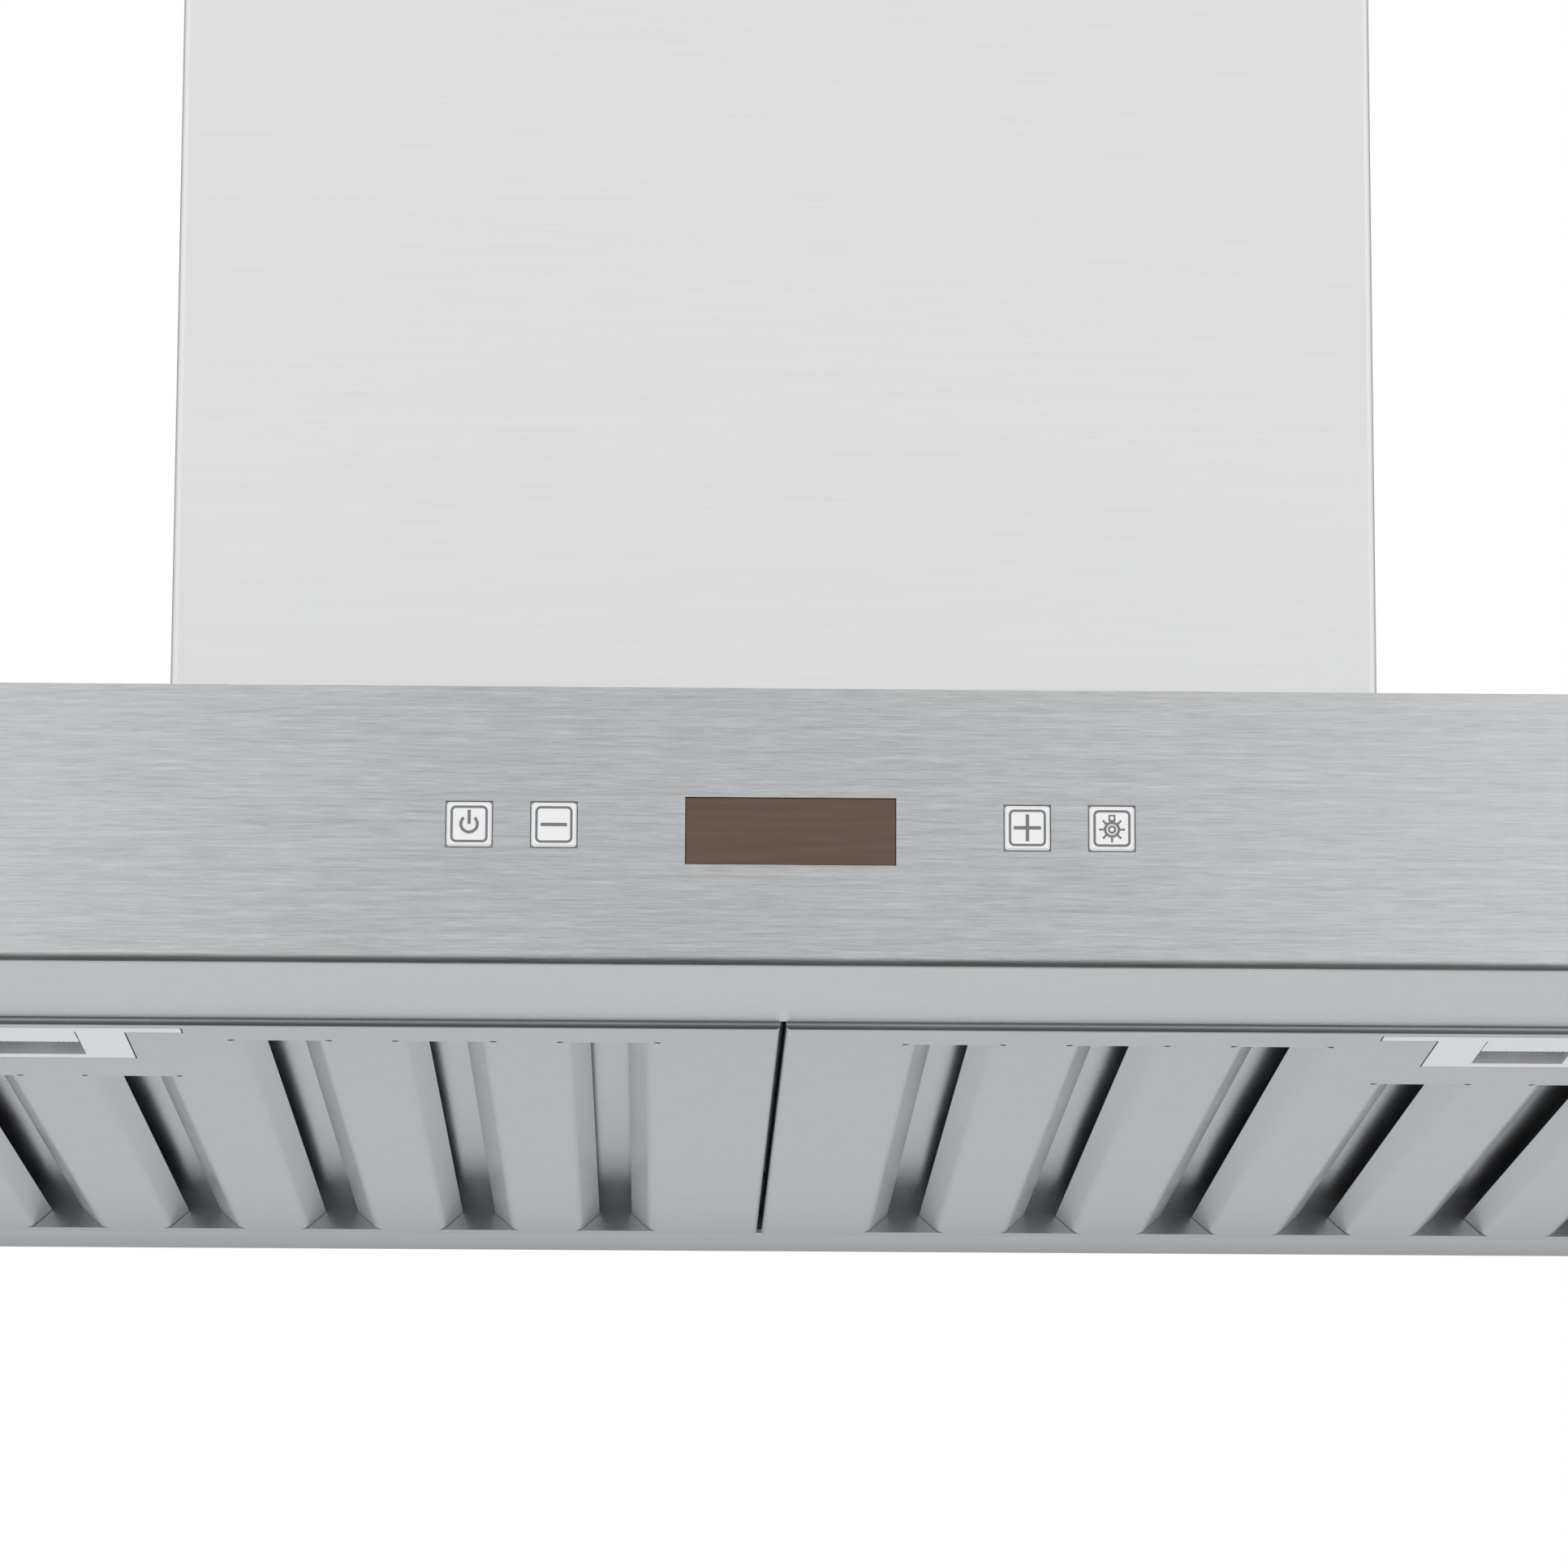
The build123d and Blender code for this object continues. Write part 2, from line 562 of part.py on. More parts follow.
    # channel frame around both plates
    frame_bottom = FILTER_BOTTOM + FILTER_SHEET
    with BuildPart() as frame:
        with BuildSketch(Plane.XY.offset(frame_bottom)):
            with Locations((x0, FRAME_Y)):
                Rectangle(FRAME_W, FRAME_D)
        extrude(amount=FILTER_TOP - frame_bottom)
        with BuildSketch(Plane.XY.offset(frame_bottom + FILTER_SHEET)):
            with Locations((x0, FRAME_Y)):
                Rectangle(FRAME_W - 2 * FILTER_SHEET, FRAME_D - 2 * FILTER_SHEET)
        extrude(amount=FILTER_TOP - frame_bottom - 2 * FILTER_SHEET, mode=Mode.SUBTRACT)
        with BuildSketch(Plane.XY.offset(frame_bottom)):
            with Locations((x0, FRAME_Y + (FRAME_FLANGE - FRAME_FLANGE_REAR) / 2)):
                Rectangle(FRAME_W - 2 * FRAME_FLANGE, FRAME_D - FRAME_FLANGE - FRAME_FLANGE_REAR)
        extrude(amount=FILTER_HEIGHT, mode=Mode.SUBTRACT)
        # turned-up lip on the rear flange
        lip_y = REAR_WALL_Y - FRAME_FLANGE_REAR + FILTER_SHEET / 2
        with BuildSketch(Plane.XY.offset(frame_bottom)):
            with Locations((x0, lip_y)):
                Rectangle(FRAME_W, FILTER_SHEET)
        extrude(amount=FRAME_LIP)
        # slot in the front wall for the latch bolt
        with BuildSketch(Plane.XZ.offset(-FILTER_FRONT)):
            with Locations((x0, BOLT_Z + BOLT_T / 2)):
                Rectangle(BOLT_W + 2 * BOLT_CLEAR, BOLT_T + BOLT_CLEAR)
        extrude(amount=-3 * FILTER_SHEET, mode=Mode.SUBTRACT)
        # ears that carry the hinge pins behind the rear wall
        for spread in (-HANGER_SPREAD, HANGER_SPREAD):
            for ear_side in (-1, 1):
                ear_x = x0 + spread + ear_side * (PIN_LENGTH / 2 - EAR / 2)
                with BuildSketch(Plane.YZ.offset(ear_x - EAR / 2)):
                    with Locations((PIN_Y, PIN_HEIGHT)):
                        Circle(PIN_D / 2 + 1.2)
                    with Locations(((REAR_WALL_Y + PIN_Y) / 2, PIN_HEIGHT)):
                        Rectangle(PIN_BEHIND_WALL, PIN_D + 2.4)
                extrude(amount=EAR)
            with BuildSketch(Plane.YZ.offset(x0 + spread - PIN_LENGTH / 2)):
                with Locations((PIN_Y, PIN_HEIGHT)):
                    Circle(PIN_D / 2)
            extrude(amount=PIN_LENGTH)
    save(frame, f"filter_{hand}_frame")

    # latch plate: flush in the lower plate, with guide walls and a spring stop above it
    guide_inner = WINDOW_W / 2
    guide_top = BOLT_Z + BOLT_T + BOLT_CLEAR
    with BuildPart() as latch_plate:
        with BuildSketch(Plane.XY.offset(FILTER_BOTTOM)):
            with Locations((x0, FILTER_FRONT + (LATCH_STRIP_FRONT + LATCH_PLATE_REAR) / 2)):
                plate_d = LATCH_PLATE_REAR - LATCH_STRIP_FRONT - 2 * LATCH_SLIT
                Rectangle(LATCH_PLATE_W - 2 * LATCH_SLIT, plate_d)
            with Locations((x0, FILTER_FRONT + (LATCH_STRIP_FRONT + LATCH_STRIP_REAR) / 2)):
                strip_d = LATCH_STRIP_REAR - LATCH_STRIP_FRONT - 2 * LATCH_SLIT
                Rectangle(LATCH_STRIP_W - 2 * LATCH_SLIT, strip_d)
            with Locations((x0, FILTER_FRONT + (WINDOW_FRONT + WINDOW_REAR) / 2)):
                Rectangle(WINDOW_W, WINDOW_REAR - WINDOW_FRONT, mode=Mode.SUBTRACT)
        extrude(amount=FILTER_SHEET)
        for wall_side in (-1, 1):
            with BuildSketch(Plane.XY.offset(FILTER_BOTTOM + FILTER_SHEET)):
                with Locations(
                    (
                        x0 + wall_side * (guide_inner + SHEET / 2),
                        FILTER_FRONT + (FRAME_FLANGE + 2.0 + WINDOW_REAR + SHEET) / 2,
                    )
                ):
                    Rectangle(SHEET, WINDOW_REAR + SHEET - FRAME_FLANGE - 2.0)
            extrude(amount=guide_top - FILTER_BOTTOM - FILTER_SHEET)
        with BuildSketch(Plane.XY.offset(FILTER_BOTTOM + FILTER_SHEET)):
            with Locations((x0, FILTER_FRONT + WINDOW_REAR + SHEET / 2)):
                Rectangle(WINDOW_W + 2 * SHEET, SHEET)
        extrude(amount=guide_top - FILTER_BOTTOM - FILTER_SHEET)
        with BuildSketch(Plane.XY.offset(guide_top)):
            with Locations((x0, FILTER_FRONT + (FRAME_FLANGE + 2.0 + WINDOW_REAR + SHEET) / 2)):
                Rectangle(WINDOW_W + 2 * SHEET, WINDOW_REAR + SHEET - FRAME_FLANGE - 2.0)
        extrude(amount=FILTER_SHEET)
    save(latch_plate, f"filter_{hand}_latch_plate")

    # latch slide: finger pad, ribbed grip wall and the bolt over the canopy's lip
    slide_gap = 0.5
    pad_front = FILTER_FRONT + WINDOW_FRONT + 0.4
    pad_rear = pad_front + LATCH_PAD
    pad_z = FILTER_BOTTOM + 0.4
    grip_t = 1.4
    bolt_front = OPENING_FRONT - BOLT_GRIP
    with BuildPart() as latch_slide:
        with BuildSketch(Plane.XY.offset(pad_z)):
            with Locations((x0, (pad_front + pad_rear) / 2)):
                Rectangle(WINDOW_W - 2 * slide_gap, LATCH_PAD)
            with Locations((x0, pad_front)):
                Rectangle(LATCH_NOTCH_W, 2 * LATCH_NOTCH_D, mode=Mode.SUBTRACT)
        extrude(amount=FILTER_SHEET)
        with BuildSketch(Plane.XY.offset(pad_z)):
            with Locations((x0, pad_rear - grip_t / 2)):
                Rectangle(WINDOW_W - 2 * slide_gap, grip_t)
        extrude(amount=BOLT_Z + BOLT_T - pad_z)
        with BuildSketch(Plane.XY.offset(BOLT_Z)):
            with Locations((x0, (bolt_front + pad_rear) / 2)):
                Rectangle(BOLT_W, pad_rear - bolt_front)
        extrude(amount=BOLT_T)
        nose = latch_slide.edges().filter_by(Axis.Z).group_by(Axis.Y)[0]
        fillet(nose, 4.0)
        rib_pitch = (WINDOW_W - 2 * slide_gap) / LATCH_RIBS
        with BuildSketch(Plane.XY.offset(pad_z)):
            with Locations((x0, pad_rear + LATCH_RIB_H / 2)):
                with GridLocations(rib_pitch, 1.0, LATCH_RIBS, 1):
                    Rectangle(rib_pitch * 0.5, LATCH_RIB_H)
        extrude(amount=GRIP_RIB_TALL)
    save(latch_slide, f"filter_{hand}_latch_slide")

    # latch spring between the grip wall and the stop
    spring_front = pad_rear + LATCH_RIB_H + 0.3
    spring_length = FILTER_FRONT + WINDOW_REAR - 0.3 - spring_front
    spring_base = Plane(origin=(x0, spring_front, LATCH_SPRING_Z), x_dir=(1, 0, 0), z_dir=(0, 1, 0))
    latch_spring = coil(spring_length, LATCH_SPRING_D, SPRING_WIRE, LATCH_SPRING_TURNS)
    save_group(place(latch_spring, [spring_base]), f"filter_{hand}_latch_spring")

# ---------------------------------------------------------------- control strip
panel_back = SHEET
cap_size = BUTTON_HOLE - 2 * BUTTON_GAP
flange_front = panel_back + 0.05
flange_back = flange_front + BUTTON_FLANGE
guide_x = 2 * (max(BUTTON_OFFSETS) + 14.0)
guide_h = 34.0
for name, button_x in zip(BUTTON_NAMES, BUTTON_OFFSETS):
    with BuildPart() as button:
        with BuildSketch(FRONT.offset(BUTTON_PROUD)):
            with Locations((button_x, BUTTON_Z)):
                RectangleRounded(cap_size, cap_size, 0.8)
        extrude(amount=-(BUTTON_PROUD + flange_back))
        rim = button.faces().sort_by(Axis.Y)[0].edges()
        chamfer(rim, 0.45)
        with BuildSketch(FRONT.offset(-flange_front)):
            with Locations((button_x, BUTTON_Z)):
                RectangleRounded(cap_size + 3.0, cap_size + 3.0, 0.8)
        extrude(amount=-BUTTON_FLANGE)
        with BuildSketch(FRONT.offset(-flange_back)):
            with Locations((button_x, BUTTON_Z)):
                Circle(STEM_D / 2)
        extrude(amount=-(SWITCH_BACK - BUTTON_TRAVEL - 0.1 - flange_back))
    save(button, f"button_{name}")

with BuildPart() as button_guide:
    with BuildSketch(FRONT.offset(-GUIDE_BACK)):
        with Locations((0, BUTTON_Z)):
            RectangleRounded(guide_x, guide_h, 3.0)
        with Locations(*[(x, BUTTON_Z) for x in BUTTON_OFFSETS]):
            Circle(STEM_D / 2 + STEM_CLEAR, mode=Mode.SUBTRACT)
        with Locations((0, DISPLAY_Z)):
            Rectangle(DISPLAY_W + 8.0, DISPLAY_H + 8.0, mode=Mode.SUBTRACT)
    extrude(amount=-GUIDE_T)
    # feet that stand on the back of the front panel
    foot_x = max(BUTTON_OFFSETS) + 11.0
    with BuildSketch(FRONT.offset(-panel_back)):
        with Locations(*[(x, BUTTON_Z + z) for x in (-foot_x, foot_x) for z in (-13.0, 13.0)]):
            Circle(2.8)
            Circle(1.4, mode=Mode.SUBTRACT)
    extrude(amount=-(GUIDE_BACK - panel_back))
save(button_guide, "button_guide")

spring_room = GUIDE_BACK - flange_back - 0.2
button_spring = coil(spring_room, BUTTON_SPRING_D, BUTTON_SPRING_WIRE, BUTTON_SPRING_TURNS)
button_spring_planes = [
    Plane(
        origin=(x, -CANOPY_DEPTH + flange_back + 0.1, BUTTON_Z),
        x_dir=(1, 0, 0),
        z_dir=(0, 1, 0),
    )
    for x in BUTTON_OFFSETS
]
save_group(place(button_spring, button_spring_planes), "button_springs")

with BuildPart() as button_switches:
    with BuildSketch(FRONT.offset(-SWITCH_BACK)):
        with Locations(*[(x, BUTTON_Z) for x in BUTTON_OFFSETS]):
            Rectangle(SWITCH_SIZE, SWITCH_SIZE)
    extrude(amount=-SWITCH_H)
save(button_switches, "button_switches")

board_front = SWITCH_BACK + SWITCH_H
with BuildPart() as control_board:
    with BuildSketch(FRONT.offset(-board_front)):
        with Locations((0, BUTTON_Z)):
            Rectangle(guide_x, guide_h)
            with GridLocations(guide_x - 12.0, guide_h - 8.0, 2, 2):
                Circle(BOARD_HOLE_D / 2, mode=Mode.SUBTRACT)
    extrude(amount=-BOARD_T)
    with BuildSketch(FRONT.offset(-board_front - BOARD_T)):
        with Locations((-40.0, BUTTON_Z)):
            Rectangle(14.0, 10.0)
        with Locations((20.0, BUTTON_Z)):
            Rectangle(22.0, 7.0)
    extrude(amount=-3.0)
save(control_board, "control_board")

with BuildPart() as board_standoffs:
    with BuildSketch(FRONT.offset(-GUIDE_BACK - GUIDE_T)):
        with Locations((0, BUTTON_Z)):
            with GridLocations(guide_x - 12.0, guide_h - 8.0, 2, 2):
                Circle(3.0)
                Circle(1.2, mode=Mode.SUBTRACT)
    extrude(amount=-(board_front - GUIDE_BACK - GUIDE_T))
save(board_standoffs, "board_standoffs")

lens_w = DISPLAY_W - 2 * LENS_GAP
lens_h = DISPLAY_H - 2 * LENS_GAP
with BuildPart() as display_lens:
    with BuildSketch(FRONT.offset(-LENS_RECESS)):
        with Locations((0, DISPLAY_Z)):
            Rectangle(lens_w, lens_h)
    extrude(amount=-LENS_T)
save(display_lens, "display_lens")

with BuildPart() as display_bezel:
    with BuildSketch(FRONT.offset(-panel_back)):
        with Locations((0, DISPLAY_Z)):
            Rectangle(lens_w + 2 * BEZEL_RIM, lens_h + 2 * BEZEL_RIM)
    extrude(amount=-BEZEL_DEPTH)
    with BuildSketch(FRONT.offset(-panel_back)):
        with Locations((0, DISPLAY_Z)):
            Rectangle(lens_w, lens_h)
    extrude(amount=-(DISPLAY_BACK - panel_back), mode=Mode.SUBTRACT)
    with BuildSketch(FRONT.offset(-panel_back)):
        with Locations((0, DISPLAY_Z)):
            Rectangle(lens_w - 3.0, lens_h - 3.0)
    extrude(amount=-BEZEL_DEPTH, mode=Mode.SUBTRACT)
save(display_bezel, "display_bezel")

with BuildPart() as display_board:
    with BuildSketch(FRONT.offset(-panel_back - BEZEL_DEPTH)):
        with Locations((0, DISPLAY_Z)):
            Rectangle(lens_w + 2 * BEZEL_RIM, lens_h + 2 * BEZEL_RIM)
    extrude(amount=-BOARD_T)
    with BuildSketch(FRONT.offset(-panel_back - BEZEL_DEPTH)):
        with Locations((0, DISPLAY_Z)):
            Rectangle(lens_w - 8.0, lens_h - 5.0)
    extrude(amount=BEZEL_DEPTH - DISPLAY_BACK + panel_back - 0.6)
save(display_board, "display_board")

# ---------------------------------------------------------------- lamps
for (lamp_x, lamp_y), hand in zip(lamp_places, ("left", "right")):
    with BuildPart() as lamp_housing:
        with BuildSketch(Plane.XY.offset(-LAMP_BEZEL_T)):
            with Locations((lamp_x, lamp_y)):
                Circle(LAMP_BEZEL_D / 2)
        extrude(amount=LAMP_BEZEL_T)
        fillet(lamp_housing.edges().group_by(Axis.Z)[0], LAMP_BEZEL_T * 0.6)
        with BuildSketch(Plane.XY):
            with Locations((lamp_x, lamp_y)):
                Circle(LAMP_D / 2 - 0.3)
        extrude(amount=LAMP_H)
        with BuildSketch(Plane.XY.offset(-LAMP_BEZEL_T)):
            with Locations((lamp_x, lamp_y)):
                Circle(LAMP_LENS_D / 2)
        extrude(amount=LAMP_BEZEL_T + LENS_SEAT + 1.2, mode=Mode.SUBTRACT)
        with BuildSketch(Plane.XY.offset(LENS_SEAT)):
            with Locations((lamp_x, lamp_y)):
                Circle(LAMP_LENS_D / 2 - 1.5)
        extrude(amount=LAMP_H - LENS_SEAT - LAMP_WALL, mode=Mode.SUBTRACT)
    save(lamp_housing, f"lamp_{hand}_housing")
    with BuildPart() as lamp_lens:
        with BuildSketch(Plane.XY):
            with Locations((lamp_x, lamp_y)):
                Circle(LAMP_LENS_D / 2 - 0.1)
        extrude(amount=LENS_SEAT)
    save(lamp_lens, f"lamp_{hand}_lens")

# ---------------------------------------------------------------- canopy electrics
elec_x = (BOX_WIDTH / 2 + HALF_WIDTH) / 2 + 12.0
elec_top = TOP - SHEET
with BuildPart() as electronics_box:
    with BuildSketch(Plane.XY.offset(elec_top - ELEC_H)):
        with Locations((elec_x, ELEC_Y)):
            RectangleRounded(ELEC_W, ELEC_D, 4.0)
    extrude(amount=ELEC_H)
    with BuildSketch(Plane.XY.offset(elec_top - ELEC_H)):
        with Locations((elec_x, ELEC_Y)):
            RectangleRounded(ELEC_W - 2 * ELEC_WALL, ELEC_D - 2 * ELEC_WALL, 2.0)
    extrude(amount=ELEC_H - ELEC_WALL, mode=Mode.SUBTRACT)
    with BuildSketch(Plane.YZ.offset(elec_x - ELEC_W / 2)):
        with Locations((ELEC_Y, elec_top - ELEC_H / 2)):
            Circle(5.0)
    extrude(amount=2 * ELEC_WALL, mode=Mode.SUBTRACT)
save(electronics_box, "electronics_box")

with BuildPart() as electronics_cover:
    with BuildSketch(Plane.XY.offset(elec_top - ELEC_H - ELEC_WALL)):
        with Locations((elec_x, ELEC_Y)):
            RectangleRounded(ELEC_W, ELEC_D, 4.0)
    extrude(amount=ELEC_WALL)
    with BuildSketch(Plane.XY.offset(elec_top - ELEC_H)):
        with Locations((elec_x, ELEC_Y)):
            RectangleRounded(ELEC_W - 2 * ELEC_WALL - 0.4, ELEC_D - 2 * ELEC_WALL - 0.4, 1.8)
            RectangleRounded(ELEC_W - 6 * ELEC_WALL, ELEC_D - 6 * ELEC_WALL, 1.8, mode=Mode.SUBTRACT)
    extrude(amount=3.0)
save(electronics_cover, "electronics_cover")

with BuildPart() as power_board:
    with BuildSketch(Plane.XY.offset(elec_top - ELEC_H + 6.0)):
        with Locations((elec_x, ELEC_Y)):
            Rectangle(ELEC_W - 12.0, ELEC_D - 12.0)
    extrude(amount=BOARD_T)
    with BuildSketch(Plane.XY.offset(elec_top - ELEC_H + 6.0 + BOARD_T)):
        with Locations((elec_x - 25.0, ELEC_Y + 12.0)):
            Rectangle(30.0, 26.0)
        with Locations((elec_x + 28.0, ELEC_Y - 14.0)):
            Rectangle(18.0, 14.0)
        with Locations((elec_x + 28.0, ELEC_Y + 16.0), (elec_x + 8.0, ELEC_Y + 16.0)):
            Circle(5.0)
    extrude(amount=14.0)
    with BuildSketch(Plane.XY.offset(elec_top - ELEC_WALL)):
        with Locations((elec_x, ELEC_Y)):
            with GridLocations(ELEC_W - 24.0, ELEC_D - 24.0, 2, 2):
                Circle(2.5)
    extrude(amount=-(ELEC_H - ELEC_WALL - 6.0 - BOARD_T))
save(power_board, "power_board")

with BuildPart() as lamp_driver:
    with BuildSketch(Plane.XY.offset(elec_top - DRIVER_H)):
        with Locations((-elec_x, ELEC_Y)):
            RectangleRounded(DRIVER_W, DRIVER_D, 3.0)
    extrude(amount=DRIVER_H)
    fillet(lamp_driver.edges().group_by(Axis.Z)[0], 2.0)
save(lamp_driver, "lamp_driver")

with BuildPart() as cable_gland:
    with BuildSketch(Plane.XY.offset(TOP - SHEET - 3.0)):
        with Locations((GLAND_X, GLAND_Y)):
            Circle(GLAND_HOLE_D / 2 + GLAND_LIP)
    extrude(amount=SHEET + 6.0)
    with BuildSketch(Plane.XY.offset(TOP - SHEET)):
        with Locations((GLAND_X, GLAND_Y)):
            Circle(GLAND_HOLE_D / 2 + 2 * GLAND_LIP)
            Circle(GLAND_HOLE_D / 2, mode=Mode.SUBTRACT)
    extrude(amount=SHEET, mode=Mode.SUBTRACT)
    with BuildSketch(Plane.XY.offset(TOP + 3.0)):
        with Locations((GLAND_X, GLAND_Y)):
            Circle(GLAND_BORE_D / 2 + 4.0)
    extrude(amount=9.0, taper=8.0)
    with BuildSketch(Plane.XY.offset(TOP - SHEET - 3.0)):
        with Locations((GLAND_X, GLAND_Y)):
            Circle(GLAND_BORE_D / 2)
    extrude(amount=20.0, mode=Mode.SUBTRACT)
save(cable_gland, "cable_gland")

# ---------------------------------------------------------------- duct cover
with BuildPart() as lower_duct_cover:
    with BuildSketch(Plane.XY.offset(TOP)):
        with Locations((0, COVER_Y)):
            Rectangle(COVER_WIDTH, COVER_DEPTH)
    extrude(amount=COVER_HEIGHT)
    corners = lower_duct_cover.edges().filter_by(Axis.Z).group_by(Axis.Y)[0]
    fillet(corners, COVER_RADIUS)
    with BuildSketch(Plane.XY.offset(TOP)):
        with Locations((0, COVER_Y)):
            Rectangle(COVER_WIDTH - 2 * COVER_SHEET, COVER_DEPTH - 2 * COVER_SHEET)
        with Locations((0, -COVER_SHEET / 2)):
            Rectangle(COVER_WIDTH - 2 * COVER_RETURN, 2 * COVER_SHEET)
    extrude(amount=COVER_HEIGHT, mode=Mode.SUBTRACT)
save(lower_duct_cover, "lower_duct_cover")

upper_w = COVER_WIDTH - 2 * COVER_SHEET - 2 * COVER_CLEAR
upper_rear = -COVER_SHEET - COVER_CLEAR
upper_d = COVER_DEPTH - 2 * COVER_SHEET - 2 * COVER_CLEAR
upper_y = upper_rear - upper_d / 2
upper_top = TOP + COVER_HEIGHT + UPPER_TOP_PROUD
upper_bottom = upper_top - UPPER_HEIGHT
with BuildPart() as upper_duct_cover:
    with BuildSketch(Plane.XY.offset(upper_bottom)):
        with Locations((0, upper_y)):
            Rectangle(upper_w, upper_d)
    extrude(amount=UPPER_HEIGHT)
    corners = upper_duct_cover.edges().filter_by(Axis.Z).group_by(Axis.Y)[0]
    fillet(corners, COVER_RADIUS)
    with BuildSketch(Plane.XY.offset(upper_bottom)):
        with Locations((0, upper_y)):
            Rectangle(upper_w - 2 * COVER_SHEET, upper_d - 2 * COVER_SHEET)
        with Locations((0, upper_rear)):
            Rectangle(upper_w - 2 * COVER_RETURN, 4 * COVER_SHEET)
    extrude(amount=UPPER_HEIGHT, mode=Mode.SUBTRACT)
    # vent slots near the top of both sides
    vent_z = upper_top - 30.0 - VENT_COUNT * VENT_PITCH / 2
    with BuildSketch(Plane.YZ.offset(-upper_w / 2)):
        with Locations((upper_y, vent_z)):
            with GridLocations(1.0, VENT_PITCH, 1, VENT_COUNT):
                SlotOverall(VENT_LENGTH, VENT_HEIGHT)
    extrude(amount=upper_w, mode=Mode.SUBTRACT)
save(upper_duct_cover, "upper_duct_cover")

bracket_top = upper_top - 4.0
with BuildPart() as upper_cover_bracket:
    bracket_w = COVER_WIDTH - 2 * COVER_RETURN - 6.0
    with BuildSketch(Plane.XY.offset(bracket_top - BRACKET_H)):
        with Locations((0, -BRACKET_T / 2)):
            Rectangle(bracket_w, BRACKET_T)
        with Locations((0, upper_rear - COVER_SHEET - BRACKET_T / 2)):
            Rectangle(upper_w - 2 * COVER_SHEET - 2.0, BRACKET_T)
        for bridge_side in (-1, 1):
            with Locations((bridge_side * (bracket_w / 2 - 4.0), (upper_rear - COVER_SHEET) / 2)):
                Rectangle(8.0, -upper_rear + COVER_SHEET)
    extrude(amount=BRACKET_H)
    with BuildSketch(Plane.XZ):
        with Locations((0, bracket_top - BRACKET_H / 2)):
            Rectangle(BRACKET_SPACING - 40.0, 2 * BRACKET_H)
    extrude(amount=20.0, mode=Mode.SUBTRACT)
    with BuildSketch(Plane.XZ):
        with Locations((0, bracket_top - BRACKET_H / 2)):
            Rectangle(BRACKET_SPACING, 6.0)
    extrude(amount=BRACKET_T)
    with BuildSketch(Plane.XZ):
        with Locations((0, bracket_top - BRACKET_H / 2)):
            with GridLocations(BRACKET_SPACING, 1.0, 2, 1):
                Circle(BRACKET_HOLE_D / 2)
    extrude(amount=20.0, mode=Mode.SUBTRACT)
save(upper_cover_bracket, "upper_cover_bracket")

tab_x = COVER_WIDTH / 2 - COVER_SHEET
with BuildPart() as duct_cover_tabs:
    for tab_side in (-1, 1):
        with BuildSketch(Plane.XY.offset(TOP)):
            with Locations((tab_side * (tab_x - SHEET / 2), COVER_Y - COVER_DEPTH / 2 + 30.0)):
                Rectangle(SHEET, COVER_TAB)
        extrude(amount=COVER_TAB)
        with BuildSketch(Plane.YZ.offset(tab_side * tab_x)):
            with Locations((COVER_Y - COVER_DEPTH / 2 + 30.0, TOP + COVER_TAB / 2)):
                Circle(SCREW_D / 2)
        extrude(amount=-tab_side * SHEET, mode=Mode.SUBTRACT)
save(duct_cover_tabs, "duct_cover_tabs")

# ---------------------------------------------------------------- blower
with BuildPart() as blower_box:
    with BuildSketch(Plane.XY.offset(TOP)):
        with Locations((0, BOX_Y)):
            Rectangle(BOX_WIDTH, BOX_DEPTH)
    extrude(amount=BOX_HEIGHT)
    with BuildSketch(Plane.XY.offset(TOP)):
        with Locations((0, BOX_Y)):
            Rectangle(BOX_WIDTH + 2 * BOX_FLANGE, BOX_DEPTH)
    extrude(amount=BOX_SHEET)
    with BuildSketch(Plane.XY.offset(TOP)):
        with Locations((0, BOX_Y)):
            Rectangle(BOX_WIDTH - 2 * BOX_SHEET, BOX_DEPTH - 2 * BOX_SHEET)
    extrude(amount=BOX_HEIGHT - BOX_SHEET, mode=Mode.SUBTRACT)
    with BuildSketch(Plane.XY.offset(TOP)):
        with Locations(*blower_screw_places):
            Circle(SCREW_D / 2 + SCREW_HOLE_CLEAR)
    extrude(amount=BOX_SHEET, mode=Mode.SUBTRACT)
    with BuildSketch(Plane.XY.offset(BOX_TOP)):
        with Locations((0, OUTLET_Y)):
            Circle(COLLAR_R - COLLAR_SHEET)
    extrude(amount=-BOX_SHEET, mode=Mode.SUBTRACT)
save(blower_box, "blower_box")


def spiral_point(angle, radius_offset):
    """A point of the scroll's wall, which widens evenly from the tongue round to the outlet."""
    share = (angle - TONGUE_ANGLE) / (360.0 - TONGUE_ANGLE)
    radius = SCROLL_R0 + SCROLL_GROWTH * share + radius_offset
    return (AXIS_Y + radius * cos(radians(angle)), AXIS_Z + radius * sin(radians(angle)))


def scroll_section(radius_offset, x_start):
    """Outline of the air space inside the scroll (radius_offset 0) or of the outside of its wall."""
    steps = 12
    angles = [TONGUE_ANGLE + (360.0 - TONGUE_ANGLE) * i / steps for i in range(steps + 1)]
    points = [spiral_point(angle, radius_offset) for angle in angles]
    mouth_front = (points[0][0] - radius_offset, SCROLL_TOP)
    mouth_rear = (points[-1][0], SCROLL_TOP)
    tongue_tangent = (-sin(radians(TONGUE_ANGLE)), cos(radians(TONGUE_ANGLE)))
    with BuildSketch(Plane.YZ.offset(x_start)) as section:
        with BuildLine():
            Spline(*points, tangents=(tongue_tangent, (0, 1)))
            Line(points[-1], mouth_rear)
            Line(mouth_rear, mouth_front)
            Line(mouth_front, points[0])
        make_face()
    return section.sketch


